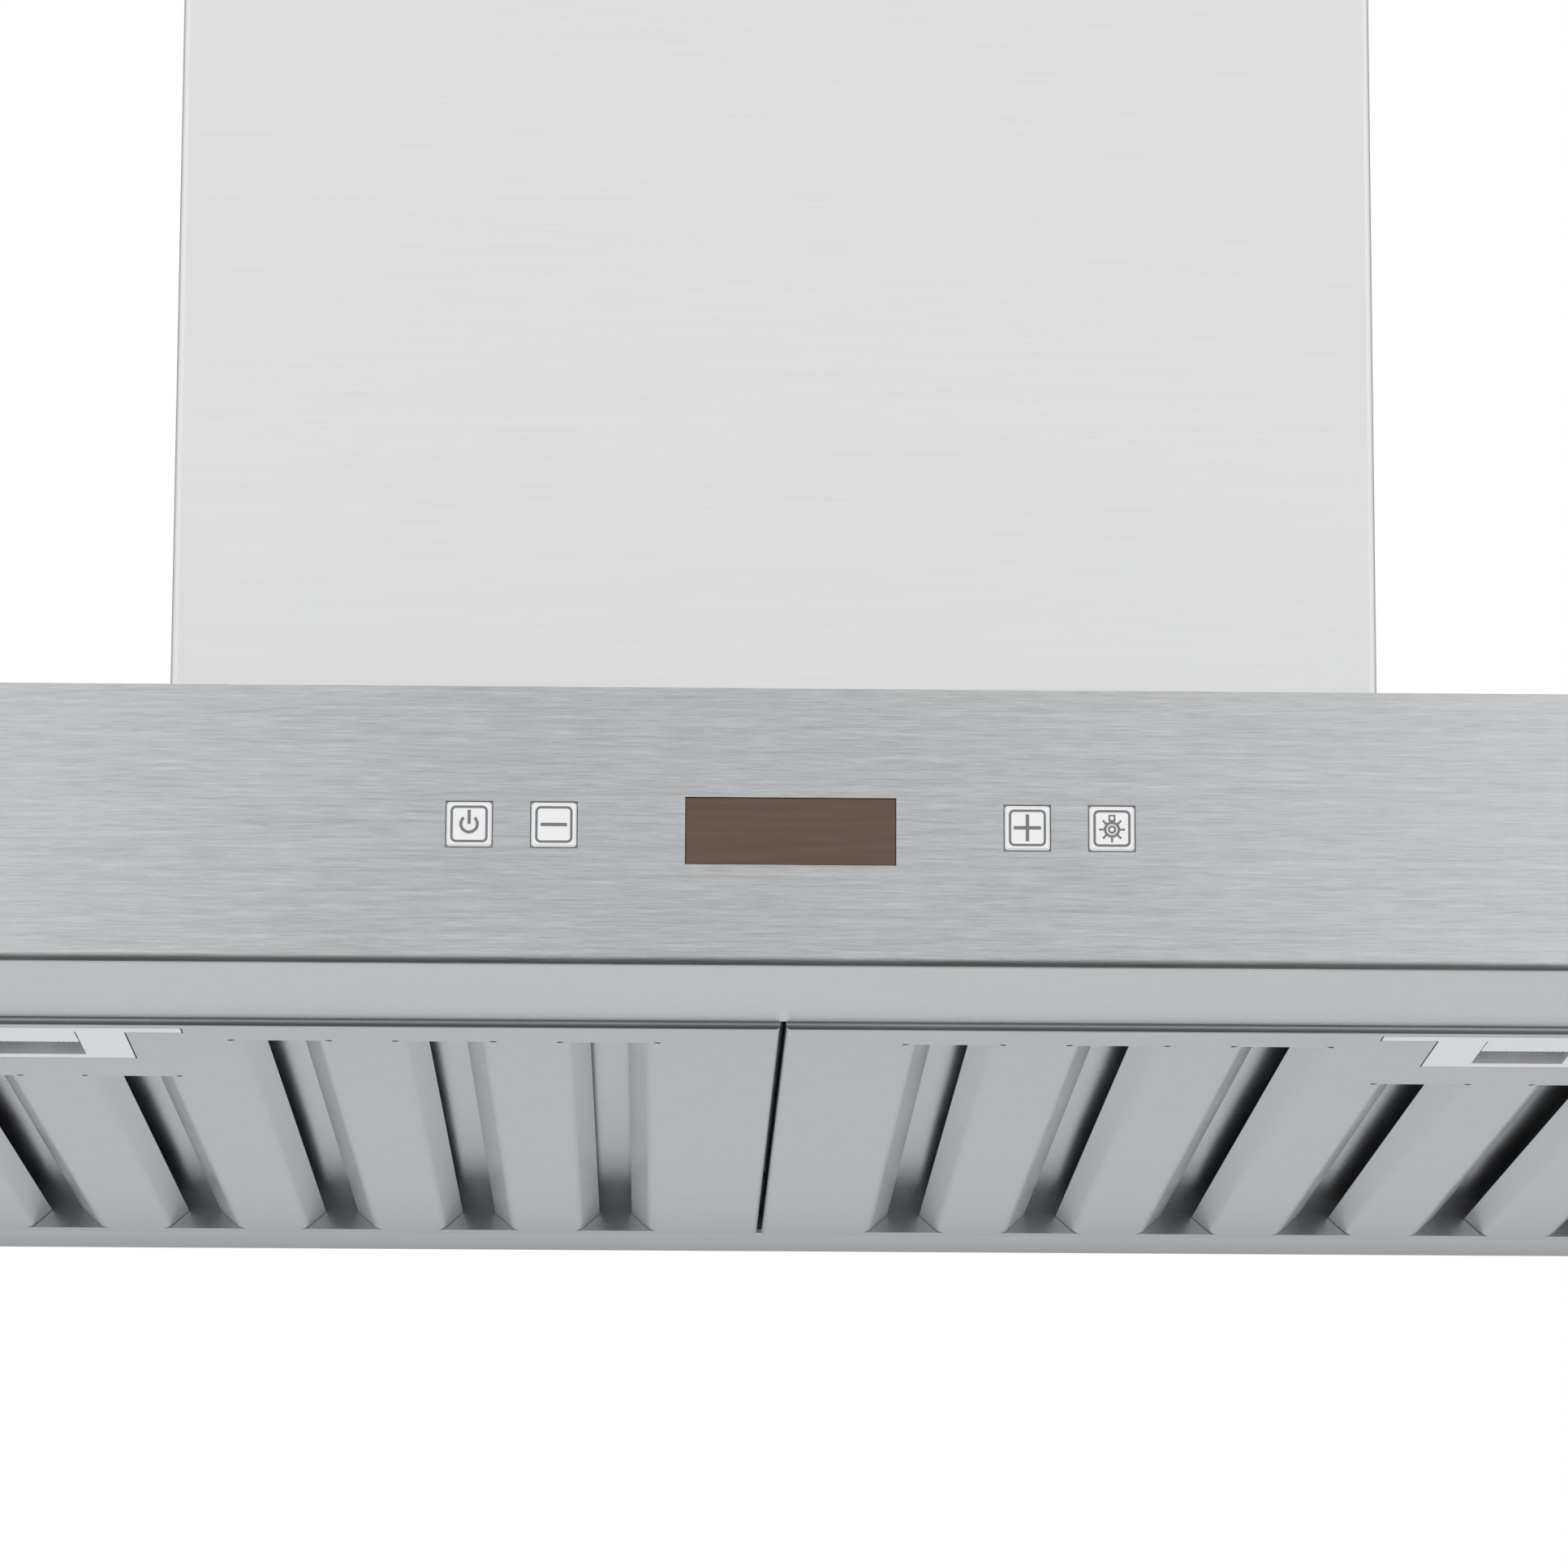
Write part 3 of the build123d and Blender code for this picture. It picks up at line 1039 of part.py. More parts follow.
with BuildPart() as scroll_housing:
    extrude(
        scroll_section(SCROLL_WALL, -SCROLL_W / 2 - SCROLL_WALL),
        amount=SCROLL_W + 2 * SCROLL_WALL,
    )
    extrude(scroll_section(0.0, -SCROLL_W / 2), amount=SCROLL_W, mode=Mode.SUBTRACT)
    with BuildSketch(Plane.YZ.offset(-SCROLL_W)):
        with Locations((AXIS_Y, AXIS_Z)):
            Circle(INLET_R + INLET_SPIGOT)
    extrude(amount=2 * SCROLL_W, mode=Mode.SUBTRACT)
save(scroll_housing, "scroll_housing")

outlet_rear = AXIS_Y + SCROLL_R1
outlet_front = AXIS_Y + TONGUE_Y


def transition(wall):
    """A solid that blends from the scroll's square mouth to the round outlet, grown by wall."""
    with BuildPart() as blend:
        with BuildSketch(Plane.XY.offset(SCROLL_TOP)):
            with Locations((0, (outlet_front + outlet_rear) / 2)):
                Rectangle(SCROLL_W + 2 * wall, outlet_rear - outlet_front + 2 * wall)
        with BuildSketch(Plane.XY.offset(BOX_TOP - BOX_SHEET)):
            with Locations((0, OUTLET_Y)):
                Circle(COLLAR_R - COLLAR_SHEET + wall)
        loft()
    return blend.part


with BuildPart() as outlet_transition:
    add(transition(SCROLL_WALL))
    add(transition(0.0), mode=Mode.SUBTRACT)
save(outlet_transition, "outlet_transition")

with BuildPart() as inlet_rings:
    for plate_side in (-1, 1):
        ring_x = plate_side * (SCROLL_W / 2 + SCROLL_WALL)
        with BuildSketch(Plane.YZ.offset(ring_x)):
            with Locations((AXIS_Y, AXIS_Z)):
                Circle(INLET_R + INLET_FLANGE)
                Circle(INLET_R, mode=Mode.SUBTRACT)
        extrude(amount=plate_side * SCROLL_WALL)
        with BuildSketch(Plane.YZ.offset(ring_x)):
            with Locations((AXIS_Y, AXIS_Z)):
                Circle(INLET_R + INLET_SPIGOT)
                Circle(INLET_R, mode=Mode.SUBTRACT)
        extrude(amount=-plate_side * (SCROLL_WALL + 0.5))
save(inlet_rings, "inlet_rings")

with BuildPart() as impeller:
    with BuildSketch(Plane.YZ.offset(-IMPELLER_W / 2)):
        with Locations((AXIS_Y, AXIS_Z)):
            with PolarLocations(IMPELLER_R - BLADE_DEPTH / 2 - 0.5, BLADE_COUNT):
                Rectangle(BLADE_DEPTH, BLADE_T, rotation=BLADE_ANGLE)
    extrude(amount=IMPELLER_W)
    for ring_x in (-IMPELLER_W / 2, IMPELLER_W / 2 - SCROLL_WALL):
        with BuildSketch(Plane.YZ.offset(ring_x)):
            with Locations((AXIS_Y, AXIS_Z)):
                Circle(IMPELLER_R)
                Circle(IMPELLER_R - BLADE_DEPTH - 1.0, mode=Mode.SUBTRACT)
        extrude(amount=SCROLL_WALL)
    with BuildSketch(Plane.YZ.offset(-SCROLL_WALL / 2)):
        with Locations((AXIS_Y, AXIS_Z)):
            Circle(IMPELLER_R - 1.0)
    extrude(amount=SCROLL_WALL)
    with BuildSketch(Plane.YZ.offset(-HUB_LENGTH / 2)):
        with Locations((AXIS_Y, AXIS_Z)):
            Circle(HUB_D / 2)
    extrude(amount=HUB_LENGTH)
    with BuildSketch(Plane.YZ.offset(-HUB_LENGTH / 2)):
        with Locations((AXIS_Y, AXIS_Z)):
            Circle(AXLE_D / 2)
    extrude(amount=HUB_LENGTH, mode=Mode.SUBTRACT)
save(impeller, "impeller")

motor_face = -(SCROLL_W / 2 + SCROLL_WALL + MOTOR_GAP)
with BuildPart() as motor_shaft:
    with BuildSketch(Plane.YZ.offset(motor_face - MOTOR_LENGTH * 0.6)):
        with Locations((AXIS_Y, AXIS_Z)):
            Circle(AXLE_D / 2)
    extrude(amount=-motor_face + MOTOR_LENGTH * 0.6 + HUB_LENGTH / 2 + 4.0)
save(motor_shaft, "motor_shaft")

with BuildPart() as motor_body:
    with BuildSketch(Plane.YZ.offset(motor_face - MOTOR_LENGTH)):
        with Locations((AXIS_Y, AXIS_Z)):
            Circle(MOTOR_D / 2)
    extrude(amount=MOTOR_LENGTH)
    fillet(motor_body.edges().group_by(Axis.X)[0], 6.0)
    fillet(motor_body.edges().group_by(Axis.X)[-1], 3.0)
    with BuildSketch(Plane.YZ.offset(motor_face - MOTOR_LENGTH * 0.6 - 1.0)):
        with Locations((AXIS_Y, AXIS_Z)):
            Circle(AXLE_D / 2 + AXLE_CLEAR)
    extrude(amount=MOTOR_LENGTH, mode=Mode.SUBTRACT)
save(motor_body, "motor_body")

ring_in = MOTOR_D / 2 - 12.0
arm_out = INLET_R + INLET_FLANGE + 1.0 + ARM_FOOT
with BuildPart() as motor_bracket:
    with BuildSketch(Plane.YZ.offset(motor_face)):
        with Locations((AXIS_Y, AXIS_Z)):
            Circle(ring_in + 4.0)
            Circle(ring_in - 10.0, mode=Mode.SUBTRACT)
            with PolarLocations((ring_in + arm_out) / 2, 3, start_angle=90):
                Rectangle(arm_out - ring_in, ARM_W)
    extrude(amount=2.0)
    with BuildSketch(Plane.YZ.offset(motor_face)):
        with Locations((AXIS_Y, AXIS_Z)):
            with PolarLocations(arm_out - ARM_FOOT / 2, 3, start_angle=90):
                Rectangle(ARM_FOOT, ARM_W)
    extrude(amount=MOTOR_GAP)
save(motor_bracket, "motor_bracket")

with BuildPart() as capacitor:
    with BuildSketch(Plane.XY.offset(TOP + CAPACITOR_RISE)):
        with Locations((BOX_WIDTH / 2 - BOX_SHEET - CAPACITOR_D / 2, BOX_Y - BOX_DEPTH / 2 + 34.0)):
            Circle(CAPACITOR_D / 2)
    extrude(amount=CAPACITOR_H)
    fillet(capacitor.edges().group_by(Axis.Z)[-1], 3.0)
save(capacitor, "capacitor")

flap_z = BOX_TOP + FLAP_Z
flap_radius_out = COLLAR_R - COLLAR_SHEET - FLAP_CLEAR
knuckle_r = FLAP_PIN_D / 2 + PIN_CLEAR + 0.9
knuckle_z = flap_z + knuckle_r
with BuildPart() as outlet_collar:
    with BuildSketch(Plane.XY.offset(BOX_TOP)):
        with Locations((0, OUTLET_Y)):
            Circle(COLLAR_R + COLLAR_FLANGE)
            Circle(COLLAR_R - COLLAR_SHEET, mode=Mode.SUBTRACT)
    extrude(amount=COLLAR_SHEET)
    with BuildSketch(Plane.XY.offset(BOX_TOP)):
        with Locations((0, OUTLET_Y)):
            Circle(COLLAR_R)
            Circle(COLLAR_R - COLLAR_SHEET, mode=Mode.SUBTRACT)
    extrude(amount=COLLAR_HEIGHT)
    # seat ring under the damper flaps
    with BuildSketch(Plane.XY.offset(BOX_TOP + FLAP_Z - SEAT_T - 0.3)):
        with Locations((0, OUTLET_Y)):
            Circle(COLLAR_R - COLLAR_SHEET / 2)
            Circle(COLLAR_R - COLLAR_SHEET - 5.0, mode=Mode.SUBTRACT)
    extrude(amount=SEAT_T)
    # holes that hold the ends of the damper pins
    with BuildSketch(Plane.YZ.offset(-COLLAR_R)):
        with Locations((OUTLET_Y, knuckle_z)):
            with GridLocations(2 * FLAP_HINGE_OFFSET, 1.0, 2, 1):
                Circle(FLAP_PIN_D / 2)
    extrude(amount=2 * COLLAR_R, mode=Mode.SUBTRACT)
save(outlet_collar, "outlet_collar")

pin_reach = COLLAR_R - COLLAR_SHEET - 0.2
with BuildPart() as damper_pins:
    for pin_side in (-1, 1):
        pin_y = OUTLET_Y + pin_side * FLAP_HINGE_OFFSET
        half = (pin_reach**2 - FLAP_HINGE_OFFSET**2) ** 0.5 + COLLAR_SHEET / 2
        with BuildSketch(Plane.YZ.offset(-half)):
            with Locations((pin_y, knuckle_z)):
                Circle(FLAP_PIN_D / 2)
        extrude(amount=2 * half)
save(damper_pins, "damper_pins")

for pin_side, name in ((-1, "front"), (1, "rear")):
    pin_y = OUTLET_Y + pin_side * FLAP_HINGE_OFFSET
    knuckle_half = flap_radius_out - 12.0
    with BuildPart() as damper_flap:
        with BuildSketch(Plane.XY.offset(flap_z)):
            with Locations((0, OUTLET_Y)):
                Circle(flap_radius_out)
            with Locations((0, OUTLET_Y - pin_side * (flap_radius_out - FLAP_HINGE_OFFSET))):
                Rectangle(3 * flap_radius_out, 2 * flap_radius_out, mode=Mode.SUBTRACT)
        extrude(amount=FLAP_T)
        with BuildSketch(Plane.YZ.offset(-knuckle_half)):
            with Locations((pin_y, knuckle_z)):
                Circle(knuckle_r)
        extrude(amount=2 * knuckle_half)
        with BuildSketch(Plane.YZ.offset(-flap_radius_out)):
            with Locations((pin_y, knuckle_z)):
                Circle(FLAP_PIN_D / 2 + PIN_CLEAR)
        extrude(amount=2 * flap_radius_out, mode=Mode.SUBTRACT)
    save(damper_flap, f"damper_flap_{name}")

# ---------------------------------------------------------------- screws
blower_screw = screw()
blower_screw_planes = [Plane(origin=(x, y, TOP + BOX_SHEET)) for x, y in blower_screw_places]
save_group(place(blower_screw, blower_screw_planes), "blower_screws")
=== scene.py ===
import json
from math import cos, pi, radians, sin

import bmesh
import bpy
from mathutils import Matrix, Vector

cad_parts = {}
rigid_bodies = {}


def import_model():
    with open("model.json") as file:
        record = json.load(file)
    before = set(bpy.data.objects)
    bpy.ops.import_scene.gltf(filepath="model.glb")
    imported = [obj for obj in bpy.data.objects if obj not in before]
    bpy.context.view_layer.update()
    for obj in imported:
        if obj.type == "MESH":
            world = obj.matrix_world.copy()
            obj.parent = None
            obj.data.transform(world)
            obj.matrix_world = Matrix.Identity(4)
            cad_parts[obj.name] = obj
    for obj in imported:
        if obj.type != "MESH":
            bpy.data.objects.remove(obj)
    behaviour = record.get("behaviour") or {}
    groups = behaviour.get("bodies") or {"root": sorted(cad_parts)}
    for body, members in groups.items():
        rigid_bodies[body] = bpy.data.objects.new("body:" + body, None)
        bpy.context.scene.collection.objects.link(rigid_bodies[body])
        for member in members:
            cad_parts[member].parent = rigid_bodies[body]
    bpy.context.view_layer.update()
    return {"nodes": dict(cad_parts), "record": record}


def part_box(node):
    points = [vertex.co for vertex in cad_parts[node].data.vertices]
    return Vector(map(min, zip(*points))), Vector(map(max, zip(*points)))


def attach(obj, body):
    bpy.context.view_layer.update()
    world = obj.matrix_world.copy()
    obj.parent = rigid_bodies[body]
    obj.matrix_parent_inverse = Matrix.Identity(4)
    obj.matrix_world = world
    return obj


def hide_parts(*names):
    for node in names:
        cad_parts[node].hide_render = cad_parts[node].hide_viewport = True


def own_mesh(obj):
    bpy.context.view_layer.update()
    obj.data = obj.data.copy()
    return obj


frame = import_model()
scene = bpy.context.scene
MM = 0.001

# The canopy hangs on a wall at Y = 0 and its underside is Z = 0. Lengths below are in metres.
FRONT_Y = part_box("canopy_shell")[0].y
FLOOR_Z = -7.0
FLOOR_HALF = 40.0
WALL_GAP = 0.02
WALL_MIDDLE_Z = 0.4
WALL_HALF_WIDTH, WALL_HALF_HEIGHT = 2.0, 1.6


# ---------------------------------------------------------------- material helpers
def add_node(tree, kind, settings=None, inputs=None):
    """Add a node. An input given as a socket is linked, and any other value is set."""
    node = tree.nodes.new(kind)
    for key, value in (settings or {}).items():
        setattr(node, key, value)
    for key, value in (inputs or {}).items():
        if isinstance(value, bpy.types.NodeSocket):
            tree.links.new(value, node.inputs[key])
        else:
            node.inputs[key].default_value = value
    return node


class Nodes:
    """A material's node tree, with short calls for the nodes that it repeats."""

    def __init__(self, name):
        self.material = bpy.data.materials.new(name)
        self.material.use_nodes = True
        self.tree = self.material.node_tree
        self.shader = self.tree.nodes["Principled BSDF"]

    def add(self, kind, settings=None, inputs=None):
        return add_node(self.tree, kind, settings, inputs)

    def link(self, output, socket):
        self.tree.links.new(output, self.shader.inputs[socket])

    def place(self):
        """Object coordinates, in metres, that stay with the piece."""
        return self.add("ShaderNodeTexCoord").outputs["Object"]

    def stretched(self, scale, source=None):
        """Coordinates multiplied by scale, so that a texture repeats scale times per metre."""
        vector = source or self.place()
        mapping = self.add("ShaderNodeMapping", inputs={"Vector": vector, "Scale": scale})
        return mapping.outputs["Vector"]

    def noise(self, vector, detail=3.0, roughness=0.55):
        node = self.add(
            "ShaderNodeTexNoise",
            inputs={"Vector": vector, "Scale": 1.0, "Detail": detail, "Roughness": roughness},
        )
        return node.outputs["Fac"]

    def fit(self, value, low, high, start=0.25, end=0.75):
        """Map a texture's usual span to low..high."""
        node = self.add(
            "ShaderNodeMapRange",
            inputs={"Value": value, "From Min": start, "From Max": end, "To Min": low, "To Max": high},
        )
        return node.outputs["Result"]

    def math(self, operation, a, b=0.0):
        return self.add("ShaderNodeMath", {"operation": operation}, {0: a, 1: b}).outputs[0]

    def blend(self, factor, dark, light):
        """Colour between two colours."""
        inputs = {"Factor": factor, 6: (*dark, 1.0), 7: (*light, 1.0)}
        return self.add("ShaderNodeMix", {"data_type": "RGBA"}, inputs).outputs[2]

    def weighted(self, first, second, share):
        """share of the first value and the rest of the second."""
        rest = self.math("MULTIPLY", second, 1.0 - share)
        return self.math("ADD", self.math("MULTIPLY", first, share), rest)

    def colour(self, tone, dark, light):
        """Base colour that follows a tone, which mostly lies between 0.35 and 0.65."""
        self.link(self.blend(self.fit(tone, 0.0, 1.0, 0.35, 0.65), dark, light), "Base Color")

    def bump(self, height, strength, distance):
        node = self.add(
            "ShaderNodeBump",
            inputs={"Height": height, "Strength": strength, "Distance": distance},
        )
        self.link(node.outputs["Normal"], "Normal")

    def set(self, **sockets):
        for key, value in sockets.items():
            self.shader.inputs[key.replace("_", " ")].default_value = value


def scaled(colour, factor):
    return tuple(min(1.0, c * factor) for c in colour)


def mottled(name, colour, vary, rough, rough_vary=0.05, scale=400.0, bump=0.0, metallic=0.0, **sockets):
    """A moulded, painted or plated surface: soft colour and gloss variation and a fine bump."""
    m = Nodes(name)
    grain = m.noise(m.stretched((scale,) * 3))
    cloud = m.noise(m.stretched((scale * 0.06,) * 3), detail=2.0)
    m.colour(m.weighted(grain, cloud, 0.5), scaled(colour, 1 - vary), scaled(colour, 1 + vary))
    m.link(m.fit(cloud, rough - rough_vary, rough + rough_vary), "Roughness")
    if bump:
        m.bump(grain, 0.4, bump)
    m.set(Metallic=metallic, **sockets)
    return m.material


BRUSH_DEPTH = 0.00001
BRUSH_EDGE_TINT = (0.96, 0.965, 0.97, 1.0)


def brushed(name, colour, vary, rough, streak=60.0, fine=3400.0):
    """Brushed stainless sheet: fine grain along X, or along Y on faces that look sideways."""
    m = Nodes(name)
    coords = m.add("ShaderNodeTexCoord")
    normal = m.add("ShaderNodeSeparateXYZ", inputs={"Vector": coords.outputs["Normal"]})
    sideways = m.math("GREATER_THAN", m.math("ABSOLUTE", normal.outputs["X"]), 0.7)
    grains = []
    for share in (1.0, 0.22):
        along_x = m.stretched((streak * share, fine * share, fine * share), coords.outputs["Object"])
        along_y = m.stretched((fine * share, streak * share, fine * share), coords.outputs["Object"])
        mix = m.add("ShaderNodeMix", {"data_type": "VECTOR"}, {"Factor": sideways, 4: along_x, 5: along_y})
        grains.append(m.noise(mix.outputs[1], detail=4.0, roughness=0.7))
    cloud = m.noise(m.stretched((7.0, 7.0, 7.0), coords.outputs["Object"]), detail=2.0)
    tone = m.weighted(grains[0], grains[1], 0.62)
    shade = m.math("ADD", m.fit(tone, -vary, vary, 0.3, 0.7), m.fit(cloud, -vary * 0.06, vary * 0.06))
    m.link(m.blend(m.math("ADD", shade, 0.5), scaled(colour, 0.5), scaled(colour, 1.5)), "Base Color")
    m.link(m.fit(tone, rough - 0.05, rough + 0.05, 0.3, 0.7), "Roughness")
    m.bump(m.math("MULTIPLY", tone, BRUSH_DEPTH), 1.0, 1.0)
    m.set(Metallic=1.0, Specular_Tint=BRUSH_EDGE_TINT)
    return m.material


PRESS_WAVE_DEPTH, PRESS_GRAIN_DEPTH = 0.00012, 0.000004
PRESS_EDGE_TINT = (0.83, 0.84, 0.85, 1.0)


def pressed(name, colour, rough):
    """Pressed cold-rolled sheet: satin, nearly a mirror at a low angle, with soft waves and a few scuffs."""
    m = Nodes(name)
    place = m.place()
    cloud = m.noise(m.stretched((16.0, 9.0, 16.0), place), detail=2.0)
    grain = m.noise(m.stretched((900.0, 260.0, 900.0), place), detail=3.0, roughness=0.65)
    scuff = m.noise(m.stretched((160.0, 45.0, 160.0), place), detail=5.0, roughness=0.7)
    m.colour(m.weighted(cloud, grain, 0.7), scaled(colour, 0.95), scaled(colour, 1.05))
    rub = m.fit(scuff, 0.0, 0.03, 0.56, 0.75)
    m.link(m.math("ADD", m.fit(cloud, rough - 0.03, rough + 0.03), rub), "Roughness")
    waves = m.math("MULTIPLY", cloud, PRESS_WAVE_DEPTH)
    m.bump(m.math("ADD", waves, m.math("MULTIPLY", grain, PRESS_GRAIN_DEPTH)), 1.0, 1.0)
    m.set(Metallic=1.0, Specular_Tint=PRESS_EDGE_TINT)
    return m.material


# ---------------------------------------------------------------- materials
stainless = brushed("brushed_stainless", (0.52, 0.532, 0.543), 0.19, 0.26, streak=105.0)
cover_stainless = brushed("cover_stainless", (0.73, 0.745, 0.755), 0.05, 0.48, streak=40.0, fine=2600.0)
filter_steel = pressed("filter_steel", (0.51, 0.52, 0.53), 0.24)
latch_steel = mottled("latch_steel", (0.86, 0.865, 0.87), 0.03, 0.38, scale=900.0, metallic=1.0)
galvanised = mottled("galvanised_sheet", (0.55, 0.57, 0.58), 0.12, 0.45, scale=160.0, metallic=1.0)
spring_steel = mottled("spring_steel", (0.62, 0.62, 0.62), 0.06, 0.28, scale=1500.0, metallic=1.0)
button_silver = mottled("button_silver", (0.81, 0.82, 0.83), 0.02, 0.32, scale=2500.0, bump=0.000004)
icon_ink = mottled("icon_ink", (0.17, 0.17, 0.175), 0.08, 0.6, scale=5000.0)
black_plastic = mottled("black_plastic", (0.018, 0.018, 0.02), 0.15, 0.5, scale=2500.0, bump=0.00002)
motor_black = mottled("motor_black", (0.03, 0.03, 0.034), 0.15, 0.45, scale=900.0, bump=0.00003)
board_green = mottled("circuit_board", (0.01, 0.11, 0.045), 0.25, 0.35, scale=700.0)
white_plastic = mottled("white_plastic", (0.74, 0.74, 0.72), 0.03, 0.4, scale=1200.0, bump=0.00001)
gland_rubber = mottled("gland_rubber", (0.02, 0.02, 0.02), 0.2, 0.75, scale=1800.0, bump=0.00003)
lamp_trim = brushed("lamp_trim", (0.62, 0.63, 0.64), 0.05, 0.32, streak=200.0, fine=2600.0)


def display_glass():
    """Amber display window: a dark tinted film with faint horizontal streaks under a clear gloss."""
    m = Nodes("display_amber")
    streak = m.noise(m.stretched((70.0, 900.0, 1500.0)), detail=3.0, roughness=0.6)
    broad = m.noise(m.stretched((25.0, 100.0, 420.0)), detail=1.0)
    m.colour(m.weighted(streak, broad, 0.5), (0.078, 0.040, 0.020), (0.110, 0.061, 0.033))
    m.link(m.fit(streak, 0.42, 0.55), "Roughness")
    m.set(Coat_Weight=0.12, Coat_Roughness=0.15)
    return m.material


def lamp_diffuser():
    """Frosted lamp lens with a fine rippled surface."""
    m = Nodes("lamp_glass")
    ripple = m.noise(m.stretched((900.0, 900.0, 300.0)), detail=2.0)
    m.link(m.blend(m.fit(ripple, 0.0, 1.0), (0.80, 0.80, 0.78), (0.93, 0.93, 0.91)), "Base Color")
    m.link(m.fit(ripple, 0.25, 0.4), "Roughness")
    m.bump(ripple, 0.6, 0.00015)
    m.set(Transmission_Weight=0.35, IOR=1.49)
    return m.material


display_amber = display_glass()
lamp_glass = lamp_diffuser()

SLOT_MATERIALS = {
    "brushed_stainless": stainless,
    "cover_stainless": cover_stainless,
    "filter_steel": filter_steel,
    "latch_steel": latch_steel,
    "galvanised": galvanised,
    "spring_steel": spring_steel,
    "button_silver": button_silver,
    "black_plastic": black_plastic,
    "circuit_board": board_green,
    "display_amber": display_amber,
    "lamp_trim": lamp_trim,
    "lamp_glass": lamp_glass,
    "white_plastic": white_plastic,
    "motor_black": motor_black,
    "gland_rubber": gland_rubber,
}


def paint_cad_nodes():
    """Give every carried-over CAD node the material of its slot in the record."""
    for part in frame["record"]["subparts"]:
        mesh = frame["nodes"][part["node"]].data
        mesh.materials.clear()
        mesh.materials.append(SLOT_MATERIALS[part["material_slot"]])


paint_cad_nodes()


# ---------------------------------------------------------------- mesh helpers
def new_piece(name, bm, material, body, smooth=False):
    """Finish a mesh piece: normals, material and body."""
    bmesh.ops.recalc_face_normals(bm, faces=bm.faces[:])
    mesh = bpy.data.meshes.new(name)
    bm.to_mesh(mesh)
    bm.free()
    mesh.materials.append(material)
    for polygon in mesh.polygons:
        polygon.use_smooth = smooth
    piece = bpy.data.objects.new(name, mesh)
    scene.collection.objects.link(piece)
    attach(piece, body)
    return piece


def add_band(bm, outer, inner, y_front, y_back, closed=True):
    """A flat band between two outlines in X and Z, from y_front to y_back."""
    rows = []
    for outline in (outer, inner):
        for y in (y_front, y_back):
            rows.append([bm.verts.new((x, y, z)) for x, z in outline])
    outer_front, outer_back, inner_front, inner_back = rows
    count = len(outer)
    for i in range(count if closed else count - 1):
        j = (i + 1) % count
        bm.faces.new((outer_front[i], outer_front[j], inner_front[j], inner_front[i]))
        bm.faces.new((outer_back[i], inner_back[i], inner_back[j], outer_back[j]))
        bm.faces.new((outer_front[i], outer_back[i], outer_back[j], outer_front[j]))
        bm.faces.new((inner_front[i], inner_front[j], inner_back[j], inner_back[i]))
    if not closed:
        for i in (0, count - 1):
            bm.faces.new((outer_front[i], inner_front[i], inner_back[i], outer_back[i]))


def add_plate(bm, outline, y_front, y_back):
    """A flat plate with an outline in X and Z."""
    front = [bm.verts.new((x, y_front, z)) for x, z in outline]
    back = [bm.verts.new((x, y_back, z)) for x, z in outline]
    bm.faces.new(front)
    bm.faces.new(back[::-1])
    for i in range(len(outline)):
        j = (i + 1) % len(outline)
        bm.faces.new((front[i], back[i], back[j], front[j]))


def rounded_square(centre, half, radius, steps=6):
    """Outline of a square with round corners, in X and Z."""
    points = []
    for quarter in range(4):
        cx = centre[0] + (half - radius) * (1 if quarter in (0, 3) else -1)
        cz = centre[1] + (half - radius) * (1 if quarter in (0, 1) else -1)
        for i in range(steps + 1):
            angle = pi / 2 * (quarter + i / steps)
            points.append((cx + radius * cos(angle), cz + radius * sin(angle)))
    return points


def bar(centre, width, height, turn=0.0):
    """Outline of a rectangle, turned about its own middle."""
    points = []
    for sx, sz in ((-1, -1), (1, -1), (1, 1), (-1, 1)):
        x, z = sx * width / 2, sz * height / 2
        turned = (x * cos(turn) - z * sin(turn), x * sin(turn) + z * cos(turn))
        points.append((centre[0] + turned[0], centre[1] + turned[1]))
    return points


def arc(centre, radius, start, end, steps=40):
    """Points of an arc, angles in degrees."""
    angles = [radians(start + (end - start) * i / steps) for i in range(steps + 1)]
    return [(centre[0] + radius * cos(a), centre[1] + radius * sin(a)) for a in angles]


def circle(centre, radius, steps=40):
    return arc(centre, radius, 0.0, 360.0, steps)[:-1]


def middle_xz(node):
    """Middle of a CAD node's box, in X and Z."""
    low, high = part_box(node)
    return ((low.x + high.x) / 2, (low.z + high.z) / 2)


# ---------------------------------------------------------------- button icons
INK = 0.03 * MM
RING_HALF = 4.1 * MM
RING_LINE = 0.55 * MM
RING_RADIUS = 1.2 * MM


def icon_power(bm, centre, y_front, y_back):
    gap = 40.0
    outer, line = 2.15 * MM, 0.67 * MM
    start, end = 90.0 + gap, 450.0 - gap
    outside, inside = (arc(centre, radius, start, end) for radius in (outer, outer - line))
    add_band(bm, outside, inside, y_front, y_back, closed=False)
    height = 3.15 * MM
    add_plate(bm, bar((centre[0], centre[1] + height / 2), 0.7 * MM, height), y_front, y_back)


def icon_minus(bm, centre, y_front, y_back):
    add_plate(bm, bar(centre, 5.8 * MM, 0.75 * MM), y_front, y_back)


def icon_plus(bm, centre, y_front, y_back):
    reach, line = 3.0 * MM, 0.77 * MM
    add_plate(bm, bar(centre, 2 * reach, line), y_front, y_back)
    arm = reach - line / 2
    for side in (-1, 1):
        add_plate(bm, bar((centre[0], centre[1] + side * (line + arm) / 2), line, arm), y_front, y_back)


